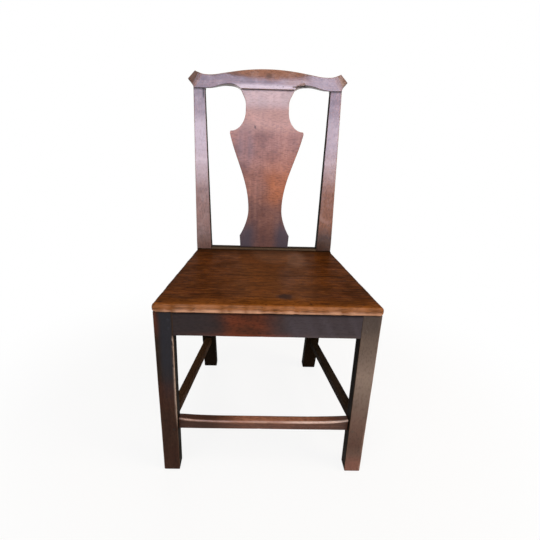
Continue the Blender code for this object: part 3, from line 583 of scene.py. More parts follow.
@dataclass
class Bar:
    """A long piece: a rounded section carried along a path, its arrises worn unevenly and sometimes bruised.

    The wear of an arris swings slowly and quickly, and it is bruised where a third swing is past a limit.
    """

    name: str
    start: float
    end: float
    section: Callable[[float], list[Vector]]
    radii: Callable[[float], Sequence[float]]
    seed: int
    wear: float = 0.35
    bruise: float = 0.0016
    wobble: float = 0.00025
    start_round: float = 0.0
    step: float = 0.006
    arc_steps: int = 5
    side_steps: int = 9
    slow_length: float = 0.085
    quick_length: float = 0.022
    bruise_length: float = 0.019
    bruise_limit: float = 0.42
    bruise_range: float = 0.3
    wobble_lengths: tuple[float, float, float] = (0.16, 0.13, 0.15)
    # Where a foot's end is drawn in by this much, it is rubbed all over.
    rubbed_end: float = 0.002

    def stations(self) -> list[Pair]:
        """Places along the bar, each with how far its section is drawn in there.

        Returns:
            (place, how far the section is drawn in) pairs in order.
        """
        places = []
        if self.start_round:
            for step in range(ROUND_STEPS):
                angle = QUARTER * step / ROUND_STEPS
                place = self.start + self.start_round * (1 - math.cos(angle))
                places.append((place, self.start_round * (1 - math.sin(angle))))
        first = self.start + self.start_round
        length = self.end - first
        count = max(2, round(length / self.step))
        return places + [(first + length * step / count, 0.0) for step in range(count + 1)]

    def worn_radii(self, place: float) -> list[float]:
        """The radius of each arris at one place along the bar.

        Args:
            place: place along the bar.

        Returns:
            The radii, in the corners' order.
        """
        radii = []
        for number, radius in enumerate(self.radii(place)):
            line = self.seed + 0.37 * number
            swings = wander(line, place, self.slow_length) + 0.5 * wander(line + 50, place, self.quick_length)
            past = max(0.0, wander(line + 90, place, self.bruise_length) - self.bruise_limit)
            radii.append(radius * (1 + self.wear * swings) + past * self.bruise / self.bruise_range)
        return radii

    def ring(self, skin: Skin, place: float, drawn: float) -> list[int]:
        """Adds one section of the bar to its skin.

        Args:
            skin: the bar's skin.
            place: place along the bar.
            drawn: how far the section is drawn in.

        Returns:
            Numbers of the section's points.
        """
        corners = inset_corners(self.section(place), drawn)
        centre = sum(corners, Vector()) / len(corners)
        across = (corners[1] - corners[0]).normalized()
        through = (corners[2] - corners[1]).normalized()
        lengths = enumerate(self.wobble_lengths)
        shake = Vector([wander(self.seed + 11 + axis, place, length) for axis, length in lengths])
        shake *= self.wobble
        end_rub = smooth(drawn, 0.0, self.rubbed_end)
        numbers = []
        for point, rub in rounded_ring(corners, self.worn_radii(place), self.arc_steps, self.side_steps):
            offset = point - centre
            grain = grain_at(self.seed, place, offset.dot(across), offset.dot(through))
            numbers.append(skin.add(point + shake, grain, max(rub, end_rub)))
        return numbers

    def build(self, marks: Marks) -> Piece:
        """Makes the bar.

        Args:
            marks: its marks.

        Returns:
            The new object.
        """
        skin = Skin()
        skin.tube([self.ring(skin, place, drawn) for place, drawn in self.stations()])
        return skin.piece(self.name, marks)


def level_at(top: float) -> Callable[[float, float, float], Vector]:
    """Lays a plate level, with its front face up at one level."""
    return lambda x, y, depth: Vector((x, y, top - depth))


@dataclass(frozen=True)
class RimPoint:
    """A point of a plate's outline: its place, how far its rim is rounded, and if it is flush in a joint.

    A flush point is drawn in only from the side, because the edge runs on into the next board.
    """

    u: float
    v: float
    radius: float
    flush: bool = False


@dataclass
class Plate:
    """A flat piece: an outline with rounded rims, and faces of small triangles so that they can warp.

    Its rim is worn unevenly, and is bruised where a second swing is past a limit.
    """

    name: str
    outline: Sequence[RimPoint]
    thickness: float
    place: Callable[[float, float, float], Vector]
    seed: int
    grain_axis: int = 0
    spacing: float = 0.004
    rim_steps: int = 5
    warp: float = 0.0003
    warp_length: float = 0.09
    bruise: float = 0.0
    hollow: Callable[[float, float], float] | None = None
    wear: float = 0.25
    wear_length: float = 0.05
    bruise_length: float = 0.011
    bruise_limit: float = 0.25
    bruise_range: float = 0.35
    # A bruise widens the rim by no more than this share.
    most_bruised: float = 0.3
    # The face's own points keep this share of their spacing from the rim.
    clear_share: float = 0.6
    # A corner that would be drawn in by less or more than this moves square to its rim instead.
    drawn_limits: Pair = (0.2, 3.0)

    def inward(self) -> list[Vector]:
        """For each outline point, the way that moves both its sides inwards by one unit.

        Returns:
            The ways, in the outline's order.
        """
        flat = [Vector((point.u, point.v, 0.0)) for point in self.outline]
        inner = inset_corners(flat, 1.0)
        following = flat[1:] + flat[:1]
        area = sum(a.x * b.y - b.x * a.y for a, b in zip(flat, following))
        least, most_drawn = self.drawn_limits
        ways = []
        for number, corner in enumerate(flat):
            side = (following[number] - flat[number - 1]).normalized()
            normal = Vector((-side.y, side.x, 0.0)) * math.copysign(1.0, area)
            way = inner[number] - corner
            if self.outline[number].flush:
                way = Vector((math.copysign(1.0, -corner.x), 0.0, 0.0))
            elif not least < way.dot(normal) < most_drawn:
                way = normal
            ways.append(way)
        return ways

    def rise(self, u: float, v: float) -> float:
        """How far the face stands out of its plane at one place."""
        place = Vector((u / self.warp_length, v / self.warp_length, self.seed * 5.3))
        return self.warp * noise.noise(place) - (self.hollow(u, v) if self.hollow else 0.0)

    def is_inside(self, point: Vector, rim: Sequence[Vector]) -> bool:
        """Says whether a place is inside the rim and clear of it.

        Args:
            point: the place on the flat.
            rim: the rim's points on the flat.

        Returns:
            Whether it is.
        """
        inside = False
        for first, second in zip(rim, [*rim[1:], rim[0]]):
            if (first.y > point.y) != (second.y > point.y):
                cross = first.x + (point.y - first.y) * (second.x - first.x) / (second.y - first.y)
                inside ^= point.x < cross
            if (first - point).length < self.clear_share * self.spacing:
                return False
        return inside

    def inner_points(self, rim: Sequence[Vector]) -> list[Vector]:
        """A grid of points inside the rim, clear of it.

        Args:
            rim: the rim's points on the flat.

        Returns:
            The points.
        """
        low_u, low_v = (min(point[axis] for point in rim) for axis in (0, 1))
        columns = int((max(point.x for point in rim) - low_u) / self.spacing)
        rows = int((max(point.y for point in rim) - low_v) / self.spacing)
        grid = [Vector((low_u + column * self.spacing, low_v + row * self.spacing))
                for column in range(1, columns + 1) for row in range(1, rows + 1)]
        return [point for point in grid if self.is_inside(point, rim)]

    def add_point(self, skin: Skin, u: float, v: float, depth: float, at_front: bool, rub: float) -> int:
        """Adds one point of the plate to its skin.

        Args:
            skin: the plate's skin.
            u: its place across the outline.
            v: its place up the outline.
            depth: how far it is behind the front.
            at_front: whether it is on the front, which warps.
            rub: how much it is rubbed.

        Returns:
            Its number.
        """
        along, across = (u, v) if self.grain_axis == 0 else (v, u)
        lifted = depth - (self.rise(u, v) if at_front else 0.0)
        return skin.add(self.place(u, v, lifted), grain_at(self.seed, along, across, depth), rub)

    def worn_rim(self, point: RimPoint) -> float:
        """How far the rim is rounded at one outline point, with its wear and its bruises.

        Args:
            point: the outline point.

        Returns:
            The rim's radius there.
        """
        u, v, radius = point.u, point.v, point.radius
        past = max(0.0, wander(self.seed + 9, u + 3 * v, self.bruise_length) - self.bruise_limit)
        bruise = self.bruise * past / self.bruise_range
        worn = radius * (1 + self.wear * wander(self.seed, u + v, self.wear_length))
        return worn + min(bruise, self.most_bruised * radius)

    def build(self, marks: Marks) -> Piece:
        """Makes the plate.

        Args:
            marks: its marks.

        Returns:
            The new object.
        """
        skin = Skin()
        corners = [(Vector((point.u, point.v, 0.0)), way, self.worn_rim(point))
                   for point, way in zip(self.outline, self.inward())]
        angles = [QUARTER * step / self.rim_steps for step in range(self.rim_steps + 1)]
        front = [(1 - math.sin(angle), 1 - math.cos(angle), math.sin(2 * angle)) for angle in angles]
        levels = [(draw, 0.0, lift, rub) for draw, lift, rub in front]
        levels += [(draw, self.thickness, -lift, rub) for draw, lift, rub in reversed(front)]
        rings, rims = [], []
        for draw, level, lift, rub in levels:
            rim = [corner + way * (worn * draw) for corner, way, worn in corners]
            depths = [level + lift * worn for _, _, worn in corners]
            rings.append([self.add_point(skin, flat.x, flat.y, depth, level == 0.0, rub)
                          for flat, depth in zip(rim, depths)])
            rims.append([flat.xy for flat in rim])
        skin.bridge(rings)
        self.fill(skin, rings[0], rims[0], 0.0)
        self.fill(skin, rings[-1], rims[-1], self.thickness)
        return skin.piece(self.name, marks)

    def fill(self, skin: Skin, ring: Sequence[int], rim: Sequence[Vector], depth: float) -> None:
        """Fills one face of the plate.

        Args:
            skin: the piece's skin.
            ring: numbers of the points on the face's rim.
            rim: the same points on the flat.
            depth: how far behind the front the face lies.
        """
        edges = [(place, (place + 1) % len(rim)) for place in range(len(rim))]
        flat, _, faces, *_ = delaunay_2d_cdt([*rim, *self.inner_points(rim)], edges, [], 1, 1e-7)
        numbers = list(ring)
        for point in flat[len(rim):]:
            numbers.append(self.add_point(skin, point.x, point.y, depth, depth == 0.0, 0.0))
        skin.faces += [tuple(numbers[place] for place in face) for face in faces]


# Finishes


def new_material(name: str) -> tuple[Material, Adder]:
    """Makes a material.

    Args:
        name: its name.

    Returns:
        The material, and a function that adds a node to it.
    """
    material = bpy.data.materials.new(name)
    material.use_nodes = True
    return material, partial(add_node, material.node_tree)


@dataclass(frozen=True)
class OakFinish:
    """Old oak, stained, waxed and rubbed for a long time.

    The eye sees dark open pores along the grain, slow bands of growth, small pale ray flecks, blotched stain,
    warm wood where hands and feet have rubbed through to it, and a soft shine of wax. Its pale, slate and
    grime colours also paint highlights, glare, reflections, a bluish sheen and shade, where a piece's marks
    ask for them.
    """

    name: str
    wood: str
    dark: str
    fleck: str
    rubbed: str
    warm: str
    pale: str
    # The grime colour stands for dirt, and also for painted shade where a piece's marks put shade.
    grime: str = "17120F"
    slate: str = "2B2C33"
    roughness: float = 0.40
    # How much smoother and rougher than that the wood is, between its blotches and on them.
    gloss: Pair = (0.06, 0.10)
    wax: float = 0.5
    wax_roughness: float = 0.25
    wax_ior: float = 1.45
    specular: float = 0.35
    fleck_share: float = 0.35
    speckle_share: float = 0.35
    bloom_share: float = 0.0
    pore_share: float = 0.55
    band_share: float = 0.6
    blotch_share: float = 0.45
    rub_share: float = 0.7
    pattern: Pattern = Pattern.GRAIN
    # Growth bands are about 6 mm apart and 200 mm long, worn specks about 8 by 4 mm, blotches of stain about
    # 45 mm and hand marks about 150 mm.
    band_size: Pair = (0.200, 0.0055)
    speckle_size: Pair = (0.008, 0.004)
    # Real pores are about 0.3 mm wide: they are drawn 1 mm wide so that they show at the photo's distance.
    pore_size: Pair = (0.020, 0.0010)
    fleck_size: Pair = (0.010, 0.0030)
    blotch_size: float = 0.045
    bloom_size: float = 0.022
    hand_size: float = 0.150
    # The noise values at which the mask of each pattern is 0 and 1.
    band_limits: Pair = (0.36, 0.66)
    pore_limits: Pair = (0.55, 0.68)
    fleck_limits: Pair = (0.56, 0.70)
    speckle_limits: Pair = (0.46, 0.66)
    blotch_limits: Pair = (0.35, 0.68)
    hand_limits: Pair = (0.30, 0.70)
    bloom_limits: Pair = (0.45, 0.70)
    # The grain's lines bend to and fro by about 2 mm over 80 mm.
    bend_scale: tuple[float, float, float] = (9.0, 14.0, 14.0)
    bend: tuple[float, float, float] = (0.0, 0.008, 0.008)
    # The relief: hand-planed waves about 25 mm wide, scattered dents, and open pores.
    bump: float = 0.35
    bump_depth: float = 0.0006
    plane_scale: tuple[float, float, float] = (7.0, 40.0, 40.0)
    plane_height: float = 2.2
    dent_scale: float = 55.0
    dent_limits: Pair = (0.05, 0.22)
    dent_height: float = 0.25
    pore_height: float = 0.25

    def material(self) -> Material:
        """Makes the finish's material.

        Returns:
            A node material.
        """
        material, add = new_material(self.name)
        place = add("ShaderNodeTexCoord").outputs["Object"]
        grain = place
        if self.pattern is Pattern.GRAIN:
            grain = add("ShaderNodeAttribute", attribute_name="grain").outputs["Vector"]
        grain = self.wavy(add, grain)
        band = self.streaks(add, grain, self.band_size, self.band_limits, detail=4.0)
        pore = self.streaks(add, grain, self.pore_size, self.pore_limits, detail=2.0)
        fleck = self.streaks(add, grain, self.fleck_size, self.fleck_limits, detail=1.0)
        speckle = self.streaks(add, grain, self.speckle_size, self.speckle_limits, detail=3.0)
        blotch = self.cloud(add, place, self.blotch_size, self.blotch_limits)
        hand = self.cloud(add, place, self.hand_size, self.hand_limits)
        bloom = self.cloud(add, place, self.bloom_size, self.bloom_limits)
        warm = self.marked(add, "warm", hand)
        grime = self.marked(add, "grime", speckle, least=1.0)
        # Each layer's mask, its share if it has one, and its colour, from the lowest up.
        layers = (
            (band, self.band_share, self.dark),
            (fleck, self.fleck_share, self.fleck),
            (blotch, self.blotch_share, self.dark),
            (warm, None, self.warm),
            (speckle, self.speckle_share, self.dark),
            (pore, self.pore_share, self.dark),
            (bloom, self.bloom_share, self.pale),
            # The pale layer also paints highlights, glare and reflections, the slate layer a bluish sheen,
            # and the grime layer shade.
            (self.marked(add, "pale", speckle, least=0.8), None, self.pale),
            (self.marked(add, "rub", blotch), self.rub_share, self.rubbed),
            (self.marked(add, "slate", speckle, least=0.85), None, self.slate),
            (grime, None, self.grime),
        )
        colour = linear(self.wood)
        for mask, share, tint in layers:
            if share is not None:
                mask = add("ShaderNodeMath", {0: mask, 1: share}, operation="MULTIPLY").outputs[0]
            blend = {0: mask, 6: colour, 7: linear(tint)}
            colour = add("ShaderNodeMix", blend, data_type="RGBA").outputs[2]
        smoothest, roughest = self.roughness - self.gloss[0], self.roughness + self.gloss[1]
        uneven = add("ShaderNodeMapRange", {"Value": blotch, "To Min": smoothest, "To Max": roughest})
        # The wax is worn off where the wood is warm, and dull where there is dirt or painted shade.
        dull = add("ShaderNodeMath", {0: warm, 1: grime}, operation="MAXIMUM").outputs[0]
        waxed = add("ShaderNodeMath", {0: dull, 1: -self.wax, 2: self.wax}, operation="MULTIPLY_ADD")
        feed(material.node_tree, material.node_tree.nodes["Principled BSDF"], {
            "Base Color": colour,
            "Roughness": uneven.outputs[0],
            "Normal": self.relief(add, grain, place, pore),
            "Specular IOR Level": self.specular,
            "Coat Weight": waxed.outputs[0],
            "Coat Roughness": self.wax_roughness,
            "Coat IOR": self.wax_ior,
        })
        return material

    def wavy(self, add: Adder, grain: Socket) -> Socket:
        """Bends the grain's lines a little to and fro.

        Args:
            add: adds a node to the material.
            grain: the grain's coordinates.

        Returns:
            The bent coordinates.
        """
        slow = add("ShaderNodeVectorMath", {0: grain, 1: self.bend_scale}, operation="MULTIPLY").outputs[0]
        swing = add("ShaderNodeTexNoise", {"Vector": slow, "Scale": 1.0, "Detail": 1.0}).outputs["Color"]
        centred = add("ShaderNodeVectorMath", {0: swing, 1: (0.5, 0.5, 0.5)}, operation="SUBTRACT").outputs[0]
        sized = add("ShaderNodeVectorMath", {0: centred, 1: self.bend}, operation="MULTIPLY").outputs[0]
        return add("ShaderNodeVectorMath", {0: grain, 1: sized}, operation="ADD").outputs[0]

    def mask(self, add: Adder, noise_inputs: dict, limits: Pair) -> Socket:
        """A soft mask made from noise.

        Args:
            add: adds a node to the material.
            noise_inputs: the inputs of the noise.
            limits: noise values where the mask is 0 and 1.

        Returns:
            The mask.
        """
        cloud = add("ShaderNodeTexNoise", noise_inputs).outputs["Fac"]
        step = {"Value": cloud, "From Min": limits[0], "From Max": limits[1]}
        return add("ShaderNodeMapRange", step, interpolation_type="SMOOTHSTEP").outputs[0]

    def streaks(self, add: Adder, grain: Socket, size: Pair, limits: Pair, detail: float) -> Socket:
        """A mask of streaks along the grain.

        Args:
            add: adds a node to the material.
            grain: the grain's coordinates.
            size: length and width of a streak, in metres.
            limits: noise values where the mask is 0 and 1.
            detail: how many finer layers it has.

        Returns:
            The mask.
        """
        scale = (1 / size[0], 1 / size[1], 1 / size[1])
        fitted = add("ShaderNodeVectorMath", {0: grain, 1: scale}, operation="MULTIPLY").outputs[0]
        return self.mask(add, {"Vector": fitted, "Scale": 1.0, "Detail": detail}, limits)

    def cloud(self, add: Adder, place: Socket, size: float, limits: Pair) -> Socket:
        """A mask of soft patches of one size, in metres, between two noise values."""
        return self.mask(add, {"Vector": place, "Scale": 1 / size, "Detail": 4.0, "Roughness": 0.6}, limits)

    def marked(self, add: Adder, mark: str, cloud: Socket, least: float = 0.55) -> Socket:
        """A piece's own mark, broken up by a cloud.

        Args:
            add: adds a node to the material.
            mark: the mark's name.
            cloud: the mask that breaks it up.
            least: the share that is left where the cloud is full.

        Returns:
            The mask.
        """
        drawn = add("ShaderNodeAttribute", attribute_name=mark).outputs["Fac"]
        broken = add("ShaderNodeMapRange", {"Value": cloud, "To Min": 1.0, "To Max": least}).outputs[0]
        return add("ShaderNodeMath", {0: drawn, 1: broken}, operation="MULTIPLY").outputs[0]

    def relief(self, add: Adder, grain: Socket, place: Socket, pore: Socket) -> Socket:
        """Fine relief: hand-planed waves, scattered dents and open pores.

        Args:
            add: adds a node to the material.
            grain: the grain's coordinates.
            place: the piece's own place.
            pore: the mask of pores.

        Returns:
            The bent normal.
        """
        planed = add("ShaderNodeVectorMath", {0: grain, 1: self.plane_scale}, operation="MULTIPLY").outputs[0]
        wave = add("ShaderNodeTexNoise", {"Vector": planed, "Scale": 1.0, "Detail": 1.5}).outputs["Fac"]
        dents = {"Vector": place, "Scale": self.dent_scale}
        dent = add("ShaderNodeTexVoronoi", dents, feature="SMOOTH_F1").outputs["Distance"]
        step = {"Value": dent, "From Min": self.dent_limits[0], "From Max": self.dent_limits[1]}
        pit = add("ShaderNodeMapRange", step, interpolation_type="SMOOTHSTEP").outputs[0]
        height = add("ShaderNodeMath", {0: wave, 1: self.plane_height}, operation="MULTIPLY").outputs[0]
        for mask, amount in ((pit, self.dent_height), (pore, -self.pore_height)):
            layer = {0: mask, 1: amount, 2: height}
            height = add("ShaderNodeMath", layer, operation="MULTIPLY_ADD").outputs[0]
        bump = {"Strength": self.bump, "Distance": self.bump_depth, "Height": height}
        return add("ShaderNodeBump", bump).outputs["Normal"]


@dataclass(frozen=True)
class IronFinish:
    """Hand-forged iron, dark with old scale and a little brown rust in the hollows."""

    name: str = "wrought_iron_forged"
    scale_colour: str = "1B1817"
    rust: str = "3A2117"
    metal: float = 0.6
    roughness: float = 0.55
    grit_size: float = 0.0015
    grit_limits: Pair = (0.45, 0.62)
    bump: float = 0.4
    bump_depth: float = 0.0003

    def material(self) -> Material:
        """Makes the finish's material.

        Returns:
            A node material.
        """
        material, add = new_material(self.name)
        place = add("ShaderNodeTexCoord").outputs["Object"]
        grain = {"Vector": place, "Scale": 1 / self.grit_size, "Detail": 3.0}
        grit = add("ShaderNodeTexNoise", grain).outputs["Fac"]
        low, high = self.grit_limits
        rusty = add("ShaderNodeMapRange", {"Value": grit, "From Min": low, "From Max": high}).outputs[0]
        blend = {0: rusty, 6: linear(self.scale_colour), 7: linear(self.rust)}
        bump = {"Strength": self.bump, "Distance": self.bump_depth, "Height": grit}
        feed(material.node_tree, material.node_tree.nodes["Principled BSDF"], {
            "Base Color": add("ShaderNodeMix", blend, data_type="RGBA").outputs[2],
            "Normal": add("ShaderNodeBump", bump).outputs["Normal"],
            "Metallic": self.metal,
            "Roughness": self.roughness,
        })
        return material


# In each finish the pale colour also serves for painted highlights and glare, the slate colour for a painted
# bluish sheen, and the grime colour for painted shade.
DARK_OAK = OakFinish(
    name="stained_oak_waxed_dark", wood="33271E", dark="1E1713", fleck="453327", rubbed="7E5E4C",
    warm="7A3A2A", pale="C4AC9E", grime="17110D", roughness=0.45, wax=0.02, wax_roughness=0.20,
    specular=0.04, pore_share=0.4, speckle_share=0.25, rub_share=0.35, bump=0.3)
RAIL_OAK = replace(DARK_OAK, name="stained_oak_waxed_rail", slate="4C454B", warm="7E3F29", speckle_share=0.4)
BLACK_OAK = OakFinish(
    name="stained_oak_waxed_black", wood="30251B", dark="140F0B", fleck="30231A", rubbed="4A382A",
    warm="543A26", pale="5A4A3C", grime="0F0C09", roughness=0.6, wax=0.0, specular=0.006, rub_share=0.4,
    bump=0.3)
TRODDEN_OAK = OakFinish(
    name="stained_oak_polished_by_feet", wood="6E4534", dark="40271D", fleck="84584A", rubbed="A67C68",
    warm="A87056", pale="E6C8BA", grime="2E1D16", roughness=0.38, wax=0.40, wax_roughness=0.14,
    specular=0.10, pore_share=0.5, rub_share=0.5, bump=0.3)
BACK_OAK = OakFinish(
    name="stained_oak_waxed_back", wood="7A4C3A", dark="482A20", fleck="9A6E58", rubbed="936650",
    warm="926550", pale="C8B2B6", grime="26211F", roughness=0.40, wax=0.8, wax_roughness=0.18,
    specular=0.12, bloom_share=0.15, speckle_share=0.45, bump=0.5)
SPLAT_OAK = OakFinish(
    name="faded_oak_waxed_splat", wood="AA7462", dark="5C342A", fleck="B4806A", rubbed="A0705A",
    warm="BC7044", pale="CFBEC4", grime="32292F", slate="5A5462", roughness=0.42, wax=0.30,
    wax_roughness=0.18, specular=0.10, fleck_share=0.5, speckle_share=0.5, band_share=0.3, blotch_share=0.6,
    pore_share=0.25, fleck_size=(0.0022, 0.014), speckle_size=(0.0026, 0.012), band_size=(0.160, 0.0065),
    bump=0.5)
SEAT_OAK = OakFinish(
    name="stained_oak_worn_seat", wood="5C2F0D", dark="1C0B01", fleck="7C4B22", rubbed="96623E",
    warm="8C501D", pale="DCA88A", grime="1C110A", roughness=0.42, wax=0.01, wax_roughness=0.20,
    specular=0.004, pore_share=0.85, pore_size=(0.010, 0.0014), fleck_share=0.5, fleck_size=(0.030, 0.0024),
    speckle_share=0.6, speckle_size=(0.034, 0.0030), rub_share=0.2, bump=0.45)
BARE_OAK = OakFinish(
    name="sawn_oak_unfinished", wood="6E5238", dark="4A3524", fleck="86694A", rubbed="7A5C40",
    warm="7A5A3C", pale="8C7454", roughness=0.78, wax=0.0, specular=0.2, bump=0.6)
PEG_OAK = OakFinish(
    name="riven_oak_peg_end_grain", wood="30251D", dark="1E1713", fleck="40302A", rubbed="4A3024",
    warm="5E3428", pale="BEA898", grime="1A1B22", roughness=0.5, wax=0.05, specular=0.08,
    pattern=Pattern.PLACE, band_size=(0.004, 0.004), pore_size=(0.001, 0.001), fleck_size=(0.002, 0.002))
IRON = IronFinish()


# Sub-assemblies


@dataclass
class SubAssembly:
    """A group of pieces that are built and dressed together."""

    sizes: ChairSizes

    def dress(self, piece: Piece, material: Material, slot: str, *nodes: str) -> None:
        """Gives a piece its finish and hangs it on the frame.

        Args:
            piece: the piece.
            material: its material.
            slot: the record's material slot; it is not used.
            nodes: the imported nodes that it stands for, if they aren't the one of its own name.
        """
        piece.data.materials.clear()
        piece.data.materials.append(material)
        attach(piece, BODY)
        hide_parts(*(nodes or (piece.name.removesuffix(OAK),)))
        LOG.info("%s: %d faces", piece.name, len(piece.data.polygons))

    def dull(self, piece: Piece, black: Material, is_dull: Callable[[bpy.types.MeshPolygon], bool]) -> None:
        """Gives some faces of a dressed piece the dull black finish.

        Args:
            piece: the piece.
            black: the dull finish's material.
            is_dull: says whether a face gets it.
        """
        piece.data.materials.append(black)
        for face in piece.data.polygons:
            face.material_index = int(is_dull(face))


@dataclass
class FrontLegs(SubAssembly):
    """The two square front legs."""

    chamfer: float = 0.006
    arris: float = 0.0026
    sharp: float = 0.0005
    rubbed_run: float = 0.02
    foot_round: float = 0.0025
    bruise: float = 0.0022
    # A face belongs to the dull side if it is turned inwards or backwards by more than this.
    inward_facing: float = 0.9
    # Only the front is paler, down to this depth.
    faded_depth: float = 0.012
    # How pale the right leg is at each height.
    fading: Sequence[Pair] = (
        (0.0, 0.18), (0.05, 0.16), (0.08, 0.10), (0.125, 0.15), (0.19, 0.25), (0.27, 0.43), (0.34, 0.235),
        (0.42, 0.165))

    def section(self, side: Side, z: float) -> list[Vector]:
        """Corners of one leg at one level.

        Args:
            side: which leg.
            z: the level.

        Returns:
            The corners, from the inner front one.
        """
        inner, outer, depth = self.sizes.leg_inner, self.sizes.leg_outer(z), self.sizes.leg_depth
        corners = ((inner, 0.0), (outer, 0.0), (outer, depth), (inner + self.chamfer, depth),
                   (inner, depth - self.chamfer))
        return [Vector((side.value * x, y, z)) for x, y in corners]

    def radii(self, z: float) -> tuple[float, ...]:
        """Arris radii of a leg at one level: the inner front arris is sharp where the rail meets it flush.

        Args:
            z: the level.

        Returns:
            The radii, in the corners' order.
        """
        low = self.sizes.rail_bottom
        inner_front = self.sharp + 0.5 * self.arris * smooth(z, low, low - self.rubbed_run)
        return inner_front, self.arris, self.arris, self.arris / 2, self.arris / 2

    def marks(self, side: Side) -> Marks:
        """Where one leg is warm, pale, slate grey or grimy, with painted shade, highlights and bluish sheen.

        Args:
            side: which leg.

        Returns:
            The leg's marks.
        """
        sizes, low = self.sizes, self.sizes.rail_bottom
        from_inner = weighed((X, side.value), (patch(sizes.leg_inner), -1.0))

        def from_outer(p: Vector) -> float:
            """How far a place is from the leg's outer face."""
            return sizes.leg_outer(p.z) - side.value * p.x

        def on_front(p: Vector) -> float:
            """Gives 1 on the front of the leg, and 0 behind it."""
            return float(p.y <= self.faded_depth)

        # Painted shade on the inner side and towards the back.
        grime = most(patch(0.85, (from_inner, 0.0025, 0.0), (Y, 0.002, 0.006)),
                     patch(0.85, (Y, 0.015, 0.04)))
        if side is Side.LEFT:
            # Red at the upper outer corner, a painted highlight on the inner arris below the rail, partly
            # wear, and a painted bluish sheen beside it.
            warm = most(patch(0.42, (from_outer, 0.018, 0.004), (Z, 0.35, 0.40)),
                        patch(0.15, (Z, 0.26, 0.18)),
                        patch(0.22, (away(Z, 0.21), 0.07, 0.02)))
            pale = patch(1.0, on_front, (from_inner, 0.0022, 0.0010), (Z, low + 0.002, low - 0.010),
                         (Z, 0.12, 0.17))
            slate = patch(0.85, (Z, 0.17, 0.32), (from_outer, 0.004, 0.018),
                          (from_inner, 0.0016, 0.0030))
        else:
            # Paler on the front, partly wear and partly painted glare, with a painted highlight on the outer
            # arris, partly wear, a warm foot and a painted bluish sheen near the top.
            bright = patch(1.0, swing(14, Z, 0.03, 0.45, 0.4), (from_outer, 0.0038, 0.0012))
            warm = total(patch(0.30, (Z, 0.26, 0.12)), patch(0.6, (Z, 0.06, 0.02)))
            pale = patch(1.0, on_front, most(chain(Z, self.fading), bright))
            slate = patch(0.3, (Z, 0.36, 0.40), (Y, 0.012, 0.006))
        return {"warm": warm, "pale": pale, "grime": grime, "slate": slate}

    def build(self, material: Material, black: Material) -> None:
        """Makes both legs, which are dull black on the faces turned to the inside and the back.

        Args:
            material: the legs' material.
            black: the dull faces' material.
        """
        for number, side in enumerate(Side):
            bar = Bar("front_leg_" + side.word, 0.0, self.sizes.rail_top, partial(self.section, side),
                      self.radii, seed=3 + number, start_round=self.foot_round, bruise=self.bruise)
            piece = bar.build(self.marks(side))
            self.dress(piece, material, "dark_frame")
            self.dull(piece, black, lambda face, inward=-side.value: max(
                inward * face.normal.x, face.normal.y) > self.inward_facing)


@dataclass(frozen=True)
class PostAge:
    """How strong one back post's marks are, painted shade and glare among them, and where its top grows
    paler.
    """

    warm: float
    faded: float
    faded_from: float
    foot_grime: float
    least_pale: float = 0.0
    top_grime: float = 0.0
    crack: float = 0.0


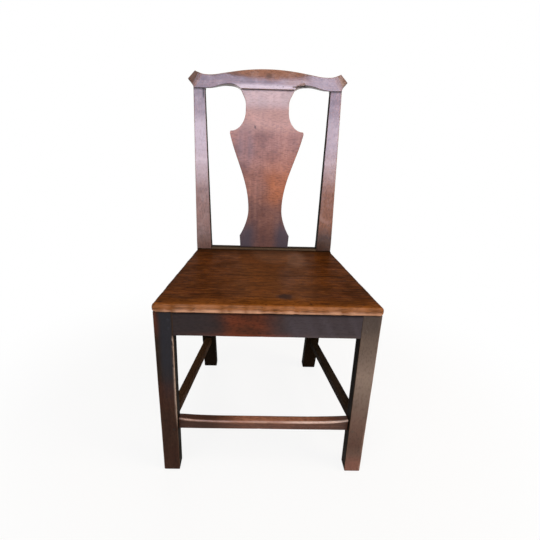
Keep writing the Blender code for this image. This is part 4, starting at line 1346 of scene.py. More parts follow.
@dataclass
class BackPosts(SubAssembly):
    """The two back posts: rear leg and back upright in one curved piece."""

    arris: float = 0.0022
    foot_round: float = 0.0035
    bruise: float = 0.0018
    # A face belongs to the polished front if it is turned towards the front by more than this.
    front_facing: float = 0.6
    # A pale band crosses both posts at this level, with this slope, measured at this place.
    band: float = 0.701
    band_slope: float = 0.15
    band_place: float = 0.19
    # The left post is cracked at its top, this far from its inner face.
    crack_place: float = 0.006
    ages: Sequence[PostAge] = (
        PostAge(warm=0.3, faded=0.60, faded_from=0.575, least_pale=0.18, foot_grime=0.35, top_grime=0.14,
                crack=1.0),
        PostAge(warm=0.85, faded=0.38, faded_from=0.60, foot_grime=0.75))

    def station(self, place: float) -> tuple[float, float, float]:
        """Front of the post at one distance from the floor, as (y, z, lean).

        Args:
            place: the distance, along the post.

        Returns:
            The front's depth, level and lean.
        """
        sizes = self.sizes
        height = place - sizes.seat_height
        if height <= 0:
            return sizes.post_front(place), place, 0.0
        if height <= sizes.back_bend:
            lean = sizes.back_rake * height / sizes.back_bend
            return *sizes.on_bend(lean), lean
        point = sizes.on_back(0.0, height, 0.0)
        return point.y, point.z, sizes.back_rake

    def face(self, z: float) -> float:
        """Where the front of a post is, at any level.

        Args:
            z: the level.

        Returns:
            The front's depth.
        """
        sizes = self.sizes
        if z <= sizes.seat_height:
            return sizes.post_front(z)
        return max(sizes.seat_depth, sizes.on_back(0.0, sizes.height_on_back(z, 0.0), 0.0).y)

    def section(self, side: Side, place: float) -> list[Vector]:
        """Corners of one post at one distance from the floor.

        Args:
            side: which post.
            place: the distance, along the post.

        Returns:
            The corners, from the inner front one.
        """
        sizes = self.sizes
        y, z, lean = self.station(place)
        depth = between(z, ((0, sizes.post_depth), (sizes.seat_height, sizes.post_depth),
                            (sizes.joint_z, sizes.post_top_depth)))
        back_y, back_z = y + depth * math.cos(lean), z - depth * math.sin(lean)
        inner, outer = side.value * sizes.post_inner(z), side.value * sizes.post_outer(z)
        return [Vector((inner, y, z)), Vector((outer, y, z)), Vector((outer, back_y, back_z)),
                Vector((inner, back_y, back_z))]

    def marks(self, side: Side, age: PostAge) -> Marks:
        """Where one post is warm, pale or grimy, and where it has painted shade and glare.

        Args:
            side: which post.
            age: how it has aged.

        Returns:
            The post's marks.
        """
        sizes, joint = self.sizes, self.sizes.joint_z
        above_band = weighed((Z, 1.0), (X, -self.band_slope * side.value),
                             (patch(self.band - self.band_slope * self.band_place), -1.0))

        def from_inner(p: Vector) -> float:
            """How far a place is from the post's inner face."""
            return side.value * p.x - sizes.post_inner(p.z)

        def behind(p: Vector) -> float:
            """How far a place is behind the post's front."""
            return p.y - self.face(p.z)

        # Painted shade on the inner face and a painted shadow below the seat; darker from a little above the
        # seat down and behind the front; the dark joint under the crest, the crack, and darker at the top.
        grime = most(
            patch(0.95, (from_inner, 0.0028, 0.0)),
            patch(age.foot_grime, (Z, 0.53, 0.48)),
            patch(0.9, (Z, joint - 0.0025, joint - 0.0005)),
            patch(age.crack, (away(from_inner, self.crack_place), 0.0026, 0.0012), (Z, 0.862, 0.875)),
            patch(0.3, (behind, 0.004, 0.010)),
            patch(0.8, (Z, 0.42, 0.36)),
            patch(age.top_grime, (Z, 0.78, 0.86)))
        # Paler towards the top, partly painted glare, and in a thin band across both posts.
        above = total(patch(age.faded, (Z, 0.86, 0.79)), patch(0.2, (away(above_band, 0.0), 0.013, 0.003)))
        pale = most(patch(age.least_pale), patch(1.0, above, (Z, age.faded_from, self.band - 0.02)))
        warm = patch(age.warm, (Z, self.band + 0.06, self.band - 0.05))
        return {"warm": warm, "pale": pale, "grime": grime}

    def build(self, back: Material, black: Material) -> None:
        """Makes both posts, which are polished in front above the seat and dull black elsewhere; the black on
        their sides and back above the seat is painted shade.

        Args:
            back: the polished faces' material.
            black: the dull faces' material.
        """
        seat_height = self.sizes.seat_height
        end = seat_height + self.sizes.back_length - self.sizes.gap
        for number, (side, age) in enumerate(zip(Side, self.ages)):
            bar = Bar("back_post_" + side.word, 0.0, end, partial(self.section, side),
                      same(*[self.arris] * 4), seed=11 + number, start_round=self.foot_round,
                      bruise=self.bruise)
            piece = bar.build(self.marks(side, age))
            self.dress(piece, back, "back")
            self.dull(piece, black, lambda face: (
                face.center.z < seat_height or face.normal.y > -self.front_facing))


@dataclass
class SeatFrame(SubAssembly):
    """The four seat rails and the braces across the inner corners."""

    arris: float = 0.0018
    # The front rail's lower front arris is this many times rounder.
    lower_wear: float = 2.2
    front_setback: float = 0.0005
    side_setback: float = 0.005
    back_setback: float = 0.006
    brace_near: float = 0.030
    brace_far: float = 0.055
    brace_height: float = 0.022
    brace_drop: float = 0.005
    brace_arris: float = 0.0012
    brace_spacing: float = 0.008

    def rail_line(self, y: float) -> float:
        """The middle line of the side rails."""
        return self.sizes.side_line(y, self.side_setback, self.sizes.rail_thickness, self.sizes.rail_top)

    def across(self, front: float, x: float) -> list[Vector]:
        """Corners of a rail that runs left to right, with its front at one depth."""
        return cross_section(x, (front, front + self.sizes.rail_thickness), self.sizes.rail_levels)

    def along(self, side: Side, y: float) -> list[Vector]:
        """Corners of a side rail at one depth."""
        return side_section(side, y, self.rail_line(y), self.sizes.rail_thickness, self.sizes.rail_levels)

    def front_marks(self) -> Marks:
        """The front rail is red-brown in its middle, orange along its lower edge and black at its ends, with
        a painted bluish sheen on its front and a painted shadow under the seat.

        Returns:
            The rail's marks.
        """
        low, top = self.sizes.rail_levels
        cloudy = total(swing(3, X, 0.040, 0.75, 0.6), swing(6, weighed((Z, 1.0), (X, 0.2)), 0.018, 0.0, 0.5))
        warm = most(patch(0.8, (away(X, -0.048), 0.100, 0.025), cloudy),
                    patch(0.9, (Z, low + 0.014, low + 0.003), (away(X, -0.05), 0.17, 0.08)))
        left = fade(X, -0.07, -0.14)
        right = patch(1.0, (X, -0.03, 0.08), swing(4, weighed((X, 1.0), (Z, 0.5)), 0.022, 0.85, 0.35))
        # A painted bluish sheen on the front face, on the right and more faintly on the left.
        slate = patch(1.0, most(right, patch(0.5, left)), (Y, 0.006, 0.002))
        pale = patch(0.18, (X, 0.02, 0.10), (Z, low + 0.008, low + 0.002))
        # A painted shadow under the seat, painted shade behind the front face, and darker at the left end.
        grime = most(patch(0.8, (Z, top - 0.006, top)), patch(0.8, (Y, 0.006, 0.012)), patch(0.35, left))
        return {"warm": warm, "pale": pale, "grime": grime, "slate": slate}

    def brace(self, side: Side, end: End) -> Plate:
        """A bar across one inner corner of the seat frame.

        Args:
            side: which side it is on.
            end: whether it is at the front or the back.

        Returns:
            The brace.
        """
        sizes, reaches = self.sizes, (self.brace_near, self.brace_far)
        face = self.front_setback + sizes.rail_thickness + sizes.gap
        corner_x, corner_y, step = sizes.leg_inner, sizes.leg_depth, 1
        if end is End.BACK:
            face = sizes.seat_depth + self.back_setback - sizes.gap
            corner_x, corner_y, step = sizes.post_inner(sizes.rail_top), sizes.seat_depth, -1
        places = [(corner_x - reach, face) for reach in reversed(reaches)]
        for reach in reaches:
            y = corner_y + step * reach
            places.append((self.rail_line(y) - sizes.rail_thickness / 2 - sizes.gap, y))
        outline = [RimPoint(side.value * x, y, self.brace_arris) for x, y in places]
        return Plate(f"corner_brace_{end.value}_{side.word}", outline, self.brace_height,
                     level_at(sizes.rail_top - self.brace_drop), seed=41, spacing=self.brace_spacing,
                     rim_steps=2)

    def build(self, front_oak: Material, black: Material, bare: Material) -> None:
        """Makes the rails and the braces.

        Args:
            front_oak: the front rail's material.
            black: the other rails' material.
            bare: the braces' material.
        """
        sizes = self.sizes
        worn = same(self.lower_wear * self.arris, self.arris, self.arris, self.arris / 2)
        even = same(*[self.arris] * 4)
        half = sizes.leg_inner - sizes.gap
        front = Bar("front_seat_rail", -half, half, partial(self.across, self.front_setback), worn, seed=21)
        self.dress(front.build(self.front_marks()), front_oak, "dark_frame")
        half = sizes.post_inner(sum(sizes.rail_levels) / 2) - sizes.gap
        start = sizes.seat_depth + self.back_setback
        back = Bar("back_seat_rail", -half, half, partial(self.across, start), even, seed=22)
        self.dress(back.build(NO_MARKS), black, "dark_frame")
        for number, side in enumerate(Side):
            rail = Bar("side_seat_rail_" + side.word, sizes.leg_depth + sizes.gap,
                       sizes.seat_depth - sizes.gap, partial(self.along, side), even, seed=23 + number)
            self.dress(rail.build(NO_MARKS), black, "dark_frame")
            for end in End:
                self.dress(self.brace(side, end).build(NO_MARKS), bare, "bare_wood")


@dataclass
class Stretchers(SubAssembly):
    """The four low bars between the legs."""

    front_low: float = 0.111
    front_height: float = 0.029
    front_thickness: float = 0.0195
    front_setback: float = 0.0165
    foot_wear: float = 0.0072
    back_wear_share: float = 0.42
    # The hollow is flat in the middle and steep at its ends: its depth falls with this power of the place.
    hollow_power: int = 5
    side_low: float = 0.106
    side_height: float = 0.022
    side_thickness: float = 0.020
    side_setback: float = 0.006
    back_low: float = 0.150
    back_height: float = 0.024
    back_thickness: float = 0.018
    arris: float = 0.0022
    left_warmth: float = 0.8

    def front_section(self, x: float) -> list[Vector]:
        """Corners of the front stretcher: its top is worn hollow, most of all in the middle.

        Args:
            x: place along the stretcher.

        Returns:
            The corners.
        """
        depths = (self.front_setback, self.front_setback + self.front_thickness)
        corners = cross_section(x, depths, (self.front_low, self.front_low + self.front_height))
        wear = self.foot_wear * (1 - abs(x / self.sizes.leg_inner) ** self.hollow_power)
        corners[2].z -= self.back_wear_share * wear
        corners[3].z -= wear
        return corners

    def front_radii(self, x: float) -> tuple[float, ...]:
        """Arris radii of the front stretcher: feet have worn its upper front round, except at its ends."""
        worn = smooth(abs(x), self.sizes.leg_inner, 0.5 * self.sizes.leg_inner)
        return self.arris, self.arris, (1 + worn) * self.arris, (0.7 + 1.3 * worn) * self.arris

    def side_section(self, side: Side, y: float) -> list[Vector]:
        """Corners of a side stretcher at one depth.

        Args:
            side: which stretcher.
            y: the depth.

        Returns:
            The corners.
        """
        middle = self.sizes.side_line(y, self.side_setback, self.side_thickness, self.side_low)
        levels = (self.side_low, self.side_low + self.side_height)
        return side_section(side, y, middle, self.side_thickness, levels)

    def back_section(self, x: float) -> list[Vector]:
        """Corners of the back stretcher.

        Args:
            x: place along the stretcher.

        Returns:
            The corners.
        """
        low, high = self.back_low, self.back_low + self.back_height
        middle = self.sizes.post_front((low + high) / 2) + self.sizes.post_depth / 2
        half = self.back_thickness / 2
        return cross_section(x, (middle - half, middle + half), (low, high))

    def front_marks(self) -> Marks:
        """The front stretcher is warm on top, has a painted highlight along its upper front arris, partly
        wear, and is dark at its left end.

        Returns:
            The stretcher's marks.
        """

        def above(p: Vector) -> float:
            """How far a place is above the upper front corner."""
            return p.z - self.front_section(p.x)[3].z

        def from_arris(p: Vector) -> float:
            """How far a place is from the upper front corner, along the front and the top together."""
            return abs(p.y - self.front_setback) + abs(above(p))

        warm = patch(0.85, (above, -0.006, -0.002), (away(X, 0.03), 0.17, 0.06))
        # A painted highlight along the upper front arris, partly wear: brightest on the right and at the left
        # end.
        bright = total(patch(0.15), patch(0.15, (X, -0.06, 0.0)), patch(0.75, (X, 0.03, 0.09)))
        end = patch(0.55, (away(X, -0.186), 0.020, 0.008))
        uneven = total(most(bright, end), swing(36, X, 0.03, 0.0, 0.2))
        pale = patch(1.0, uneven, (from_arris, 0.0042, 0.0024))
        ends = total(patch(0.7, (X, -0.02, -0.15)), patch(0.4, (X, 0.185, 0.203)))
        grime = most(patch(1.0, ends, (from_arris, 0.002, 0.005)), patch(0.9, (Y, 0.031, 0.035)))
        return {"warm": warm, "pale": pale, "grime": grime}

    def build(self, trodden: Material, black: Material) -> None:
        """Makes the four stretchers.

        Args:
            trodden: the front stretcher's material.
            black: the other stretchers' material.
        """
        sizes = self.sizes
        even = same(*[self.arris] * 4)
        half = sizes.leg_inner - sizes.gap
        front = Bar("front_stretcher", -half, half, self.front_section, self.front_radii, seed=31, wear=0.2,
                    bruise=0.001)
        self.dress(front.build(self.front_marks()), trodden, "dark_frame")
        end = sizes.post_front(self.side_low + self.side_height / 2) - sizes.gap
        for number, side in enumerate(Side):
            bar = Bar("side_stretcher_" + side.word, sizes.leg_depth + sizes.gap, end,
                      partial(self.side_section, side), even, seed=32 + number)
            brown = {"warm": patch(self.left_warmth)} if side is Side.LEFT else {}
            self.dress(bar.build(NO_MARKS | brown), black, "dark_frame")
        half = sizes.post_inner(self.back_low) - sizes.gap
        back = Bar("back_stretcher", -half, half, self.back_section, even, seed=35)
        self.dress(back.build(NO_MARKS), black, "dark_frame")


@dataclass
class Seat(SubAssembly):
    """The two seat boards, their grain running left to right."""

    joint: float = 0.187
    lip: float = 0.005
    side_lip: float = 0.0025
    tongue: float = 0.031
    corner: float = 0.010
    corner_steps: int = 6
    rim: float = 0.007
    joint_rim: float = 0.0006
    rim_step: float = 0.005
    joint_step: float = 0.010
    # The dish that sitting has worn: its depth, how far back its middle is, and its reach from there.
    dish: float = 0.0012
    dish_middle: float = 0.22
    dish_reach: Pair = (0.20, 0.19)
    warp: float = 0.00025
    bruise: float = 0.003
    stain: Pair = (0.039, 0.052)

    def side(self, y: float) -> float:
        """Half the width of the seat at one depth.

        Args:
            y: the depth.

        Returns:
            Half the width.
        """
        front = self.sizes.front_width / 2 + self.side_lip
        back = self.sizes.back_width / 2 + self.side_lip / 2
        return between(y, ((-self.lip, front), (self.sizes.seat_depth, back)))

    def dense(self, corners: Sequence[RimPoint]) -> list[RimPoint]:
        """Splits an outline into short steps, and longer ones along the joint between the boards.

        Args:
            corners: the outline's corners.

        Returns:
            The outline.
        """
        points = []
        for first, second in zip(corners, [*corners[1:], corners[0]]):
            length = math.hypot(second.u - first.u, second.v - first.v)
            joint = first.flush and second.flush
            steps = max(1, round(length / (self.joint_step if joint else self.rim_step)))
            points.append(first)
            for step in range(1, steps):
                u, v = (a + (b - a) * step / steps for a, b in ((first.u, second.u), (first.v, second.v)))
                points.append(RimPoint(u, v, self.joint_rim if joint else first.radius))
        return points

    def hollow(self, x: float, y: float) -> float:
        """How far the seat is worn down at one place."""
        across, along = self.dish_reach
        return self.dish * smooth(math.hypot(x / across, (y - self.dish_middle) / along), 1.0, 0.2)

    def front_wear(self, p: Vector) -> float:
        """Share of the orange band behind the front edge, which is widest and strongest in the middle.

        Args:
            p: the place.

        Returns:
            The share.
        """
        middle = smooth(abs(p.x - 0.015), 0.13, 0.03)
        cloudy = 0.65 + 0.45 * wander(5, p.x, 0.06)
        return (0.65 + 0.35 * middle) * smooth(p.y, 0.055 + 0.045 * middle, 0.006) * cloudy

    def marks(self) -> Marks:
        """The seat is orange near its front edge, darker at the back, and has one dark stain, a painted
        highlight on its nose and painted reflections of the back.

        Returns:
            The marks of both boards.
        """
        low = self.sizes.seat_under
        from_side = weighed((away(X, 0.0), 1.0), (lambda p: self.side(p.y), -1.0))
        from_stain = from_spot((X, self.stain[0], 1.25), (Y, self.stain[1], 1.0))
        blot = fade(total(from_stain, swing(10, X, 0.008, 0.0, 0.004)), 0.020, 0.006)
        # A painted highlight low on the nose, partly wear.
        line = patch(0.95, (Z, low + 0.0085, low + 0.0055), (Z, low + 0.001, low + 0.003))
        nose = patch(1.0, (Y, 0.003, -0.002), total(patch(0.16), line), swing(8, X, 0.014, 0.85, 0.9))
        warm = most(self.front_wear,
                    patch(0.15, (from_spot((X, 0.0, 0.2), (Y, 0.16, 0.14)), 1.1, 0.3)),
                    patch(0.85, (Y, 0.012, 0.004)))
        # A painted highlight along the nose, partly wear, and painted reflections of the back and its splat:
        # a patch at the back, a glare and a faint sheen down the middle.
        pale = most(nose,
                    patch(0.075, (from_spot((X, 0.030, 0.100), (Y, 0.40, 0.17)), 1.0, 0.45)),
                    patch(0.080, (from_spot((X, 0.085, 0.045), (Y, 0.34, 0.14)), 1.0, 0.35)),
                    patch(0.028, (away(X, 0.020), 0.13, 0.06), (Y, 0.02, 0.05)))
        # The stain, dents by the front edge, darker at the back, underneath and at the sides, and dirt in the
        # joint.
        grime = most(patch(0.6, blot),
                     patch(0.8, (swing(9, X, 0.011), 0.45, 0.75), (away(Y, 0.012), 0.006, 0.002)),
                     patch(0.6, (Y, 0.34, 0.41)),
                     patch(0.9, (Z, low + 0.0016, low)),
                     patch(0.5, (from_side, -0.012, -0.003), (Y, 0.0, 0.05)),
                     patch(0.8, (away(Y, self.joint), 0.0015, 0.0004)))
        # A painted reflection of the splat: a faint grey smear.
        splat_reflection = patch(0.14, (from_spot((X, 0.050, 0.030), (Y, 0.18, 0.11)), 1.0, 0.2))
        return {"warm": warm, "pale": pale, "grime": grime, "slate": most(patch(0.5, blot), splat_reflection)}

    def board(self, name: str, corners: Sequence[RimPoint], seed: int) -> Plate:
        """A seat board over its plan outline."""
        return Plate(name, self.dense(corners), self.sizes.seat_thickness, level_at(self.sizes.seat_height),
                     seed=seed, warp=self.warp, bruise=self.bruise, hollow=self.hollow)

    def build(self, material: Material) -> None:
        """Makes both boards.

        Args:
            material: the boards' material.
        """
        sizes, rim, fine = self.sizes, self.rim, self.joint_rim
        round_corner = []
        for step in range(self.corner_steps + 1):
            angle = QUARTER * step / self.corner_steps
            y = -self.lip + self.corner * (1 - math.sin(angle))
            round_corner.append((self.side(y) - self.corner * (1 - math.cos(angle)), y))
        y = self.joint - sizes.gap / 2
        front = [RimPoint(way * self.side(y), y, rim, True) for way in (1, -1)]
        front += [RimPoint(-x, y, rim) for x, y in round_corner]
        front += [RimPoint(x, y, rim) for x, y in reversed(round_corner)]
        y = self.joint + sizes.gap / 2
        notch = sizes.seat_depth - sizes.gap
        tongue = sizes.post_inner(sizes.seat_under) - sizes.gap
        end = sizes.seat_depth + self.tongue
        back = [RimPoint(way * self.side(y), y, rim, True) for way in (-1, 1)]
        notches = ((self.side(notch), notch), (tongue, notch), (tongue, end), (-tongue, end),
                   (-tongue, notch))
        back += [RimPoint(x, y, fine) for x, y in notches]
        back.append(RimPoint(-self.side(notch), notch, rim))
        for name, corners, seed in (("seat_board_front", front, 51), ("seat_board_back", back, 52)):
            self.dress(self.board(name, corners, seed).build(self.marks()), material, "seat")


@dataclass
class Back(SubAssembly):
    """The shoe, the vase shaped splat and the crest rail."""

    shoe_depth: float = 0.023
    shoe_setback: float = 0.0005
    # Radii of the shoe's lower front, lower back, upper back and upper front arris.
    shoe_arrises: tuple[float, ...] = (0.0006, 0.0006, 0.0015, 0.005)
    splat_thickness: float = 0.010
    splat_arris: float = 0.0014
    foot_setback: float = 0.010
    head_setback: float = 0.004
    # Half widths of the splat, and where they are, as shares of the back's length.
    head_half: float = 0.077
    neck_half: float = 0.0622
    shoulder_half: float = 0.107
    waist_half: float = 0.0496
    base_half: float = 0.0742
    foot_half: float = 0.0715
    tip_round: float = 0.0025
    base_at: float = 0.096
    waist_at: float = 0.262
    shoulder_at: float = 0.737
    lip_at: float = 0.754
    neck_at: float = 0.876
    collar_at: float = 0.911
    # The splat's side from its base to its head: the pulls and the steps of each curve between those places.
    side_curves: Sequence[tuple[tuple[float, ...], int]] = (
        ((0.40, 0.20, 0.0, 0.37), 16), ((0.0, 0.38, 0.31, 0.34), 44), ((-0.32, 0.5, 0.64, 0.0), 5),
        ((0.55, 0.0, 0.0, 0.55), 22), ((0.0, 0.0, 0.0, 0.0), 4), ((0.0, 0.43, 0.44, 0.40), 12))
    foot_steps: int = 8
    end_steps: int = 24
    crest_thickness: float = 0.023
    crest_centre: float = 0.0583
    crest_dip: float = 0.0378
    dip_place: float = 0.78
    crest_arch: float = 0.013
    arch_place: float = 0.52
    undercut: float = 0.007
    stop: float = 0.0006
    roll: float = 0.008
    roll_place: float = 0.62
    roll_start: float = 0.35
    crest_arris: float = 0.0020
    ear_reach: float = 0.0165
    ear_low: float = 0.027
    ear_top: float = 0.0495
    ear_top_inset: float = 0.0035
    ear_roll: float = 0.0075
    ear_facet: float = 0.36
    # The crest's face is divided by this power of the height: finely low down, where the chip and crack are.
    face_power: float = 1.5
    face_steps: int = 36
    # Steps along the crest's lower edge, over the splat's head and over each post.
    head_steps: int = 30
    post_steps: int = 12
    # The arrises are worn to this many times their radius, more or less.
    crest_wear: float = 1.35
    uneven_wear: float = 0.3
    chip_depth: float = 0.0034
    chip_place: float = 0.094
    chip_height: float = 0.010
    # This share of the chip goes back into the wood.
    chip_back: float = 0.8
    crack_depth: float = 0.0012
    wave: float = 0.0003
    wave_length: float = 0.05
    # Dark specks above the splat's right corner: place along the crest and height above the joint.
    dots: Sequence[Pair] = ((0.027, 0.012), (0.044, 0.009), (0.071, 0.004), (0.076, 0.010))

    @property
    def splat_top(self) -> float:
        """Height of the splat's head up the rake."""
        return self.sizes.back_length + self.sizes.splat_head_rise

    @property
    def crest_half(self) -> float:
        """Half the width of the back over the posts' tops."""
        return self.sizes.top_width / 2

    def shoe_section(self, x: float) -> list[Vector]:
        """Corners of the shoe at one place.

        Args:
            x: place along the shoe.

        Returns:
            The corners.
        """
        depth, height = self.sizes.seat_depth, self.sizes.seat_height
        levels = (height + self.sizes.gap, height + self.sizes.shoe_height)
        return cross_section(x, (depth + self.shoe_setback, depth + self.shoe_depth), levels)

    def splat_side(self) -> Curve:
        """Right side of the splat from its base to its head, as (x, height) points.

        Returns:
            The points.
        """
        shares = (
            (self.base_half, self.base_at), (self.waist_half, self.waist_at),
            (self.shoulder_half, self.shoulder_at), (self.shoulder_half - self.tip_round, self.lip_at),
            (self.neck_half, self.neck_at), (self.neck_half, self.collar_at))
        knots = [(half, self.sizes.back_length * share) for half, share in shares]
        knots.append((self.head_half, self.splat_top - self.sizes.gap))
        points = []
        for first, last, (pulls, steps) in zip(knots, knots[1:], self.side_curves):
            points += sweep(first, last, pulls, steps)
        return [*points, knots[-1]]

    def splat_place(self, x: float, height: float, depth: float) -> Vector:
        """A place in the splat, whose front leans forward from the shoe to the crest."""
        front = self.foot_setback + (self.head_setback - self.foot_setback) * height / self.splat_top
        return self.sizes.on_back(x, height, front + depth)

    def splat_marks(self) -> Marks:
        """The splat is pale at its head, partly painted glare, orange low on its right and dark at its foot.

        Returns:
            The splat's marks.
        """
        top = self.splat_top

        def up(p: Vector) -> float:
            """How far up the rake a place on the splat is."""
            return self.sizes.height_on_back(p.z, self.foot_setback)

        ragged = total(up, swing(64, X, 0.012, 0.0, 0.014))
        # Orange low on the right, a warm core at the foot, and a warm band under the head.
        warm = most(patch(0.72, (X, -0.03, 0.03), (up, 0.09, 0.16), (up, 0.31, 0.21)),
                    patch(0.4, (away(X, 0.004), 0.034, 0.014), (up, 0.15, 0.10)),
                    patch(0.5, (up, 0.33, 0.37), (up, 0.43, 0.385)))
        # Paler towards the head, partly painted glare.
        pale = most(patch(0.52, (up, 0.375, 0.435)), patch(0.26, (up, 0.33, 0.37)))
        # Slate at the corners of the foot, and in streaks on the left shoulder.
        slate = most(patch(0.8, (away(X, 0.0), 0.018, 0.050), (up, 0.10, 0.05)),
                     patch(1.0, swing(67, X, 0.016, 0.28, 0.25),
                           (from_spot((X, -0.062, 0.038), (up, 0.30, 0.090)), 1.0, 0.2)))
        # Dirt at the foot, on the waist, in a knot on the left and along the joint.
        grime = most(total(patch(0.53, (ragged, 0.175, 0.120)), patch(0.15, (ragged, 0.09, 0.02))),
                     patch(0.30, (from_spot((X, -0.010, 0.040), (ragged, 0.170, 0.045)), 1.0, 0.3)),
                     patch(0.9, (from_spot((X, -0.0345, 1.0), (up, 0.358, 1.6)), 0.004, 0.0012)),
                     patch(0.7, (up, top - 0.003, top - 0.0008)))
        return {"warm": warm, "pale": pale, "grime": grime, "slate": slate}

    def splat(self) -> Plate:
        """The vase shaped splat.

        Returns:
            The splat.
        """
        sizes = self.sizes
        foot = sizes.height_on_back(sizes.seat_height + sizes.shoe_height + sizes.gap, self.foot_setback)
        side = self.splat_side()
        base, head = side[0][1], side[-1][1]
        shares = [step / self.foot_steps for step in range(self.foot_steps)]
        flare = self.base_half - self.foot_half
        right = [(self.foot_half + flare * share, foot + (base - foot) * share) for share in shares] + side
        across = [1 - 2 * step / self.end_steps for step in range(1, self.end_steps)]
        outline = right + [(self.head_half * share, head) for share in across]
        outline += [(-x, height) for x, height in reversed(right)]
        outline += [(-self.foot_half * share, foot) for share in across]
        rim = [RimPoint(x, height, self.splat_arris) for x, height in outline]
        return Plate("splat", rim, self.splat_thickness, self.splat_place, seed=61, grain_axis=1,
                     warp=0.0005, warp_length=0.07)

    def crest_top(self) -> Curve:
        """Top edge of the crest's right half, from the middle to the ear.

        Returns:
            (x, height up the rake) points.
        """
        joint = self.sizes.back_length
        dip = (self.crest_half * self.dip_place, joint + self.crest_dip)
        ear = (self.crest_half - self.ear_top_inset, joint + self.ear_top)
        points = sweep((0.0, joint + self.crest_centre), dip, pulls=(0.52, 0.0, 0.21, 0.0), steps=40)
        return [*points, *sweep(dip, ear, pulls=(0.45, 0.0, 0.35, 0.9), steps=24), ear]

    def crest_bottom(self) -> tuple[Curve, int]:
        """Bottom edge of the crest's right half, and the number of its first point on the post.

        Returns:
            (x, height up the rake) points, and that number.
        """
        half, joint, top = self.crest_half, self.sizes.back_length, self.splat_top
        seat = half - self.sizes.post_top_width - self.stop
        arch, stop = (half * self.arch_place, joint + self.crest_arch), (seat - self.stop, joint)
        ear = (half + self.ear_reach, joint + self.ear_low)
        curve = [(self.head_half * step / self.head_steps, top) for step in range(self.head_steps)]
        curve += sweep((self.head_half, top), arch, pulls=(0.3, 0.7, 0.4, 0.0), steps=40)
        curve += [*sweep(arch, stop, pulls=(0.4, 0.0, 0.4, 0.0), steps=20), stop]
        on_post = len(curve)
        on_seat = [step / self.post_steps for step in range(self.post_steps)]
        curve += [(seat + (half - seat) * share, joint) for share in on_seat]
        curve += [*sweep((half, joint), ear, pulls=(0.0, 0.35, 0.55, 0.38), steps=18), ear]
        return curve, on_post

    def crest_profile(self, length: float, undercut: float, wear: Sequence[float]) -> list[tuple[float, ...]]:
        """Closed section of the crest.

        Args:
            length: its height.
            undercut: how far the underside rises towards the back.
            wear: radius of the lower front, upper front, upper back and lower back arris.

        Returns:
            (distance up, depth, rubbed share) of each point.
        """
        back = self.crest_thickness
        corners = [Vector((up, depth, 0.0)) for up, depth in ((0.0, 0.0), (length, 0.0), (length, back),
                                                              (undercut, back))]
        flat = length - wear[0] - wear[1]
        profile = []
        for point, rub in rounded_ring(corners, wear, ROUND_STEPS, self.face_steps):
            up = point.x
            if rub == 0.0 and point.y == 0.0:
                up = wear[0] + flat * max(0.0, (up - wear[0]) / flat) ** self.face_power
            profile.append((up, point.y, rub * smooth(up, 0.002, 0.006)))
        return profile

    def crack(self, x: float, height: float) -> float:
        """Share of the dark crack that runs above the chip, beside the splat's right corner.

        Args:
            x: place along the crest.
            height: height above the joint.

        Returns:
            The share.
        """
        line = 0.0088 + 0.10 * (x - 0.074) + 0.0012 * wander(79, x, 0.005)
        wide = 0.0010 + 0.0007 * wander(78, x, 0.004)
        along = smooth(x, 0.070, 0.074) * smooth(x, 0.112, 0.107)
        return smooth(abs(height - line), wide + 0.0008, wide) * along

    def chip(self, x: float, up: float, depth: float) -> float:
        """How far the lower front arris is broken away beside the splat's right corner.

        Args:
            x: place along the crest.
            up: distance up from the lower edge.
            depth: distance behind the front.

        Returns:
            The distance.
        """
        along = smooth(abs(x - self.chip_place), 0.019, 0.008)
        near = smooth(math.hypot(up, depth), 0.009, 0.001)
        ragged = 0.6 + 0.4 * wander(77, x, 0.0035) + 0.3 * wander(76, x + up, 0.002)
        return self.chip_depth * along * near * ragged

    def above_joint(self, p: Vector) -> float:
        """How far up the rake a place on the crest is above the posts' joints."""
        return self.sizes.height_on_back(p.z, 0.0) - self.sizes.back_length

    def above_brown(self, p: Vector) -> float:
        """How far a place is above the ragged, curved lower edge of the crest's brown middle.

        Args:
            p: the place.

        Returns:
            The distance, up the rake.
        """
        up = self.above_joint(p)
        ragged = 0.004 * wander(90, p.x, 0.020) + 0.003 * wander(91, p.x + up, 0.006)
        return up - (0.029 - 0.06 * max(0.0, p.x) + 0.030 * (p.x / 0.125) ** 2 + ragged)

    def broken(self, p: Vector) -> float:
        """Share of the chip's dirt, which reaches a little higher than the chip."""
        return self.chip(p.x, max(0.0, self.above_joint(p) - 0.004), 0.0) / self.chip_depth

    def crest_marks(self) -> Marks:
        """The crest is brown where its top is rolled back and at its ears, with a painted glare along its
        lower edge.

        Returns:
            The crest's marks.
        """
        sizes, up = self.sizes, self.above_joint
        bottom = self.crest_bottom()[0]
        rake, start = math.tan(sizes.back_rake), sizes.on_back(0, 0, 0).y
        across = away(X, 0.0)
        ear = weighed((across, 1.0), (up, 0.6))
        above_edge = weighed((up, 1.0), (patch(sizes.back_length), 1.0), (chain(across, bottom), -1.0))
        behind = weighed((Y, 1.0), (patch(start), -1.0), (Z, -rake))
        spotted = swing(92, weighed((X, 3.1), (up, 7.0)), 0.014)
        # Brown on the rolled middle, pink between it and the right post, and brown at the ears.
        warm = most(patch(1.0, (self.above_brown, -0.009, 0.007), (across, 0.150, 0.110)),
                    patch(0.55, (X, 0.03, 0.07), (X, 0.14, 0.10), (up, 0.010, 0.018)),
                    fade(ear, 0.203, 0.216))
        # A painted glare along the lower edge, pale in the pink and over the right post, and a painted
        # highlight at the tip of its ear.
        pale = most(patch(0.75, (up, 0.020, 0.008), (away(X, 0.01), 0.125, 0.09)),
                    patch(0.35, (X, 0.02, 0.06), (X, 0.15, 0.10), (up, 0.032, 0.024)),
                    patch(0.25, (X, 0.10, 0.14), (X, 0.222, 0.205)),
                    patch(0.8, (X, 0.2385, 0.2415)))
